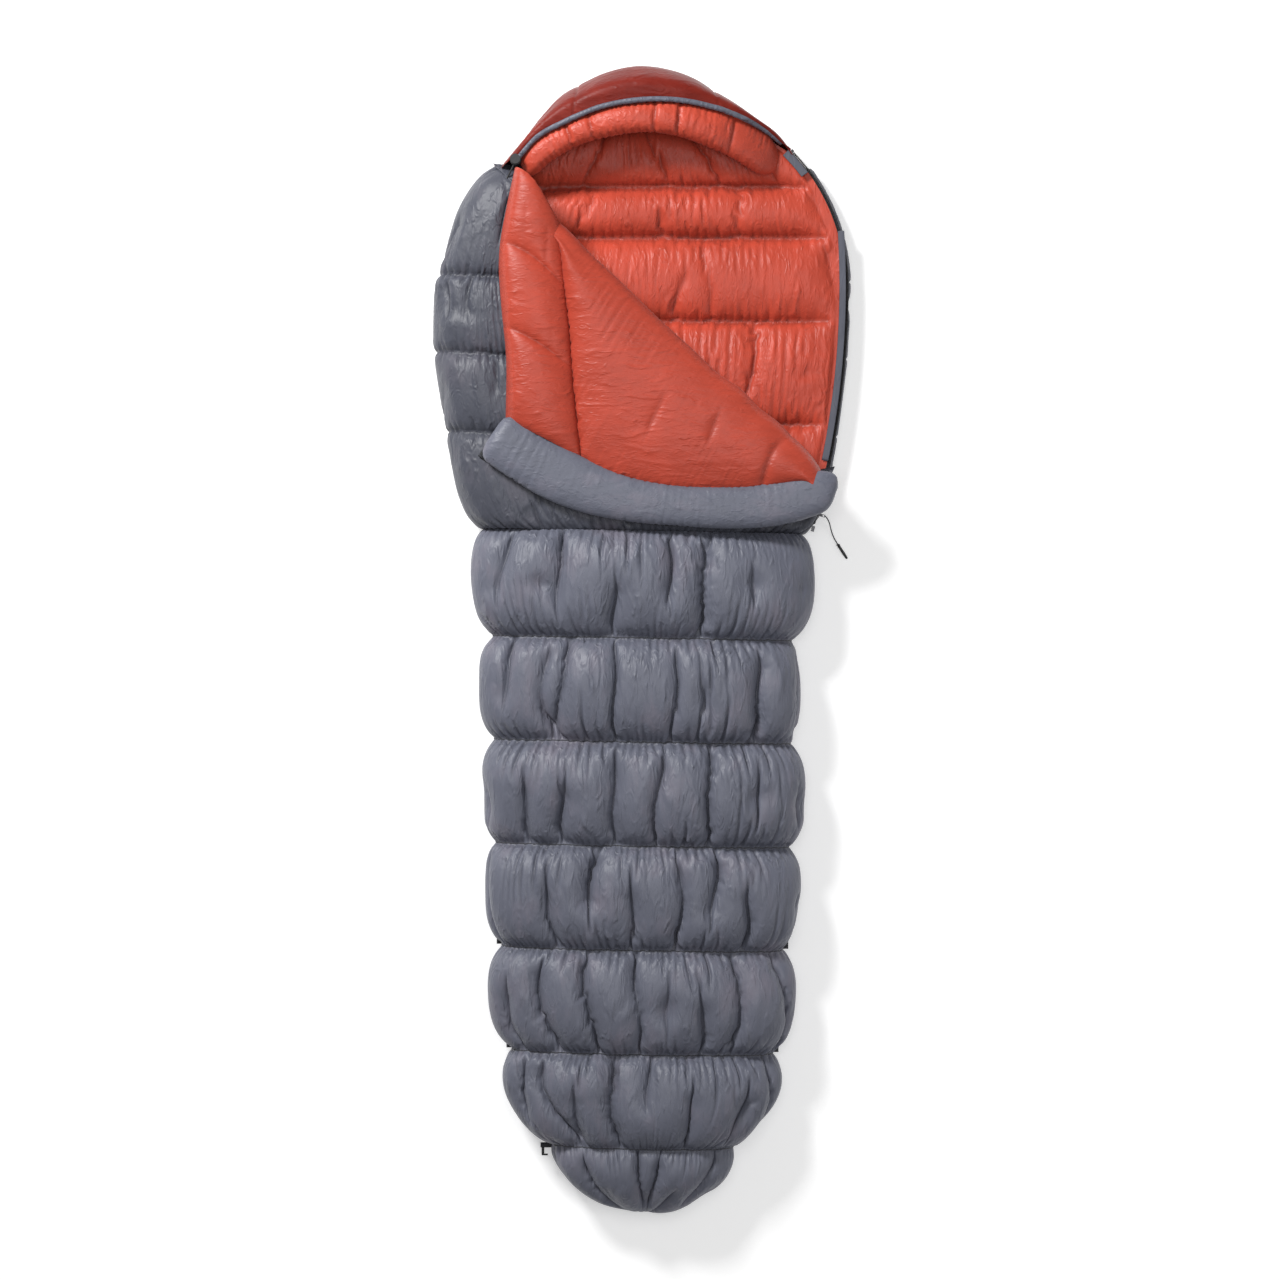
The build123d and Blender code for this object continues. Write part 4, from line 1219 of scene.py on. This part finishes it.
# chest_shell and flap_under wear the darker copy of the shell fabric, which is painted shade
FINISHES = [(legs, "shell", "shell_nylon"), (chest_shell, "shaded_shell", "shell_nylon"),
            (back_lining, "lining", "lining_nylon"), (leg_lining, "lining", "lining_nylon"),
            (front_lining, "lining", "lining_nylon"), (flap_strip, "flap", "lining_nylon"),
            (flap_field, "flap", "lining_nylon"), (flap_under, "shaded_shell", "shell_nylon"),
            (draft_band, "band", "shell_nylon"), (hood_outer, "hood", "hood_nylon"),
            (hood_inner, "lining", "lining_nylon"), (hood_under, "shell", "shell_nylon"),
            (hood_binding, "binding", "binding_tape"), (draft_collar, "collar", "lining_nylon"),
            (coil_back, "coil", "zip_coil"), (coil_front, "coil", "zip_coil"),
            (tape_back, "tape", "zip_tape"), (tape_front, "tape", "zip_tape"),
            (lower_facing, "facing", "facing_nylon"), (upper_facing, "facing", "facing_nylon"),
            (pull_cord, "cord", "black_cord"), (pull_grip, "plastic", "black_plastic"),
            (pull_knot, "cord", "black_cord"), (drawcord, "cord", "black_cord"),
            (elastics, "elastic", "elastic"), (hook_tab, "loop", "webbing"),
            (lock_spring, "steel", "spring_steel"), ] + [(loop, "loop", "webbing") for loop in loops]
for piece, look, slot in FINISHES:
    piece.data.materials.clear()
    piece.data.materials.append(looks[look])

KEPT = {"cord_lock_body": "plastic", "cord_lock_button": "plastic", "slider_body": "metal",
        "slider_tab": "metal", "zip_stops": "metal", "foot_hook": "plastic"}
for node, look in KEPT.items():
    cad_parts[node].data.materials.clear()
    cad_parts[node].data.materials.append(looks[look])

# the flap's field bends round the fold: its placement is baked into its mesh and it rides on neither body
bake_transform(flap_field)
ON_FLAP = [flap_strip, flap_under, draft_band, coil_front, tape_front]
ON_PULL = [pull_cord, pull_grip, pull_knot]
for piece, _, _ in FINISHES:
    if piece is flap_field:
        continue
    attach(piece, "flap" if piece in ON_FLAP else "pull" if piece in ON_PULL else "bag")

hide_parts(*[f"back_fill_{i}" for i in range(1, 8)], *[f"front_fill_{i}" for i in range(1, 7)],
            "footbox_shell", "footbox_fill", "front_shell", "back_shell")
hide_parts("front_shell", "back_shell", *[f"front_fill_{i}" for i in range(7, 11)],
            *[f"back_fill_{i}" for i in range(7, 11)])
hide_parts("back_lining")
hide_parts("back_lining", "front_lining")
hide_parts("front_lining")
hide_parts("head_fill")
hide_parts("flap_lining", "flap_fill_2", "flap_fill_3")
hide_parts("flap_fill_1", "flap_collar")
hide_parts("flap_shell")
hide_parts("zip_draft_tube")
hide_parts("hood_shell_left", "hood_shell_centre", "hood_shell_right", "hood_fill_left",
            "hood_fill_centre", "hood_fill_right")
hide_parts("hood_lining")
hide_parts("hood_binding")
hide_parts("hood_drawcord")
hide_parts("draft_collar")
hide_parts("zip_coil_back")
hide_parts("zip_coil_front")
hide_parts("zip_tape_back")
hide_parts("zip_tape_front")
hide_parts("zip_facings")
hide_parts("zip_facings")
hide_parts("seam_elastics")
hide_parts("cord_lock_spring")
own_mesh(lock_spring)
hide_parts("pull_cord")
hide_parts("pull_grip")
for loop in loops + [hook_tab]:
    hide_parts("length_loops")

floor_places = np.linspace(-8, 8, 9)
floor_plan = np.stack(np.meshgrid(floor_places, floor_places), -1)
floor = mesh_object("studio_floor", raised(floor_plan, np.zeros((9, 9))))
floor.data.materials.append(looks["floor"])
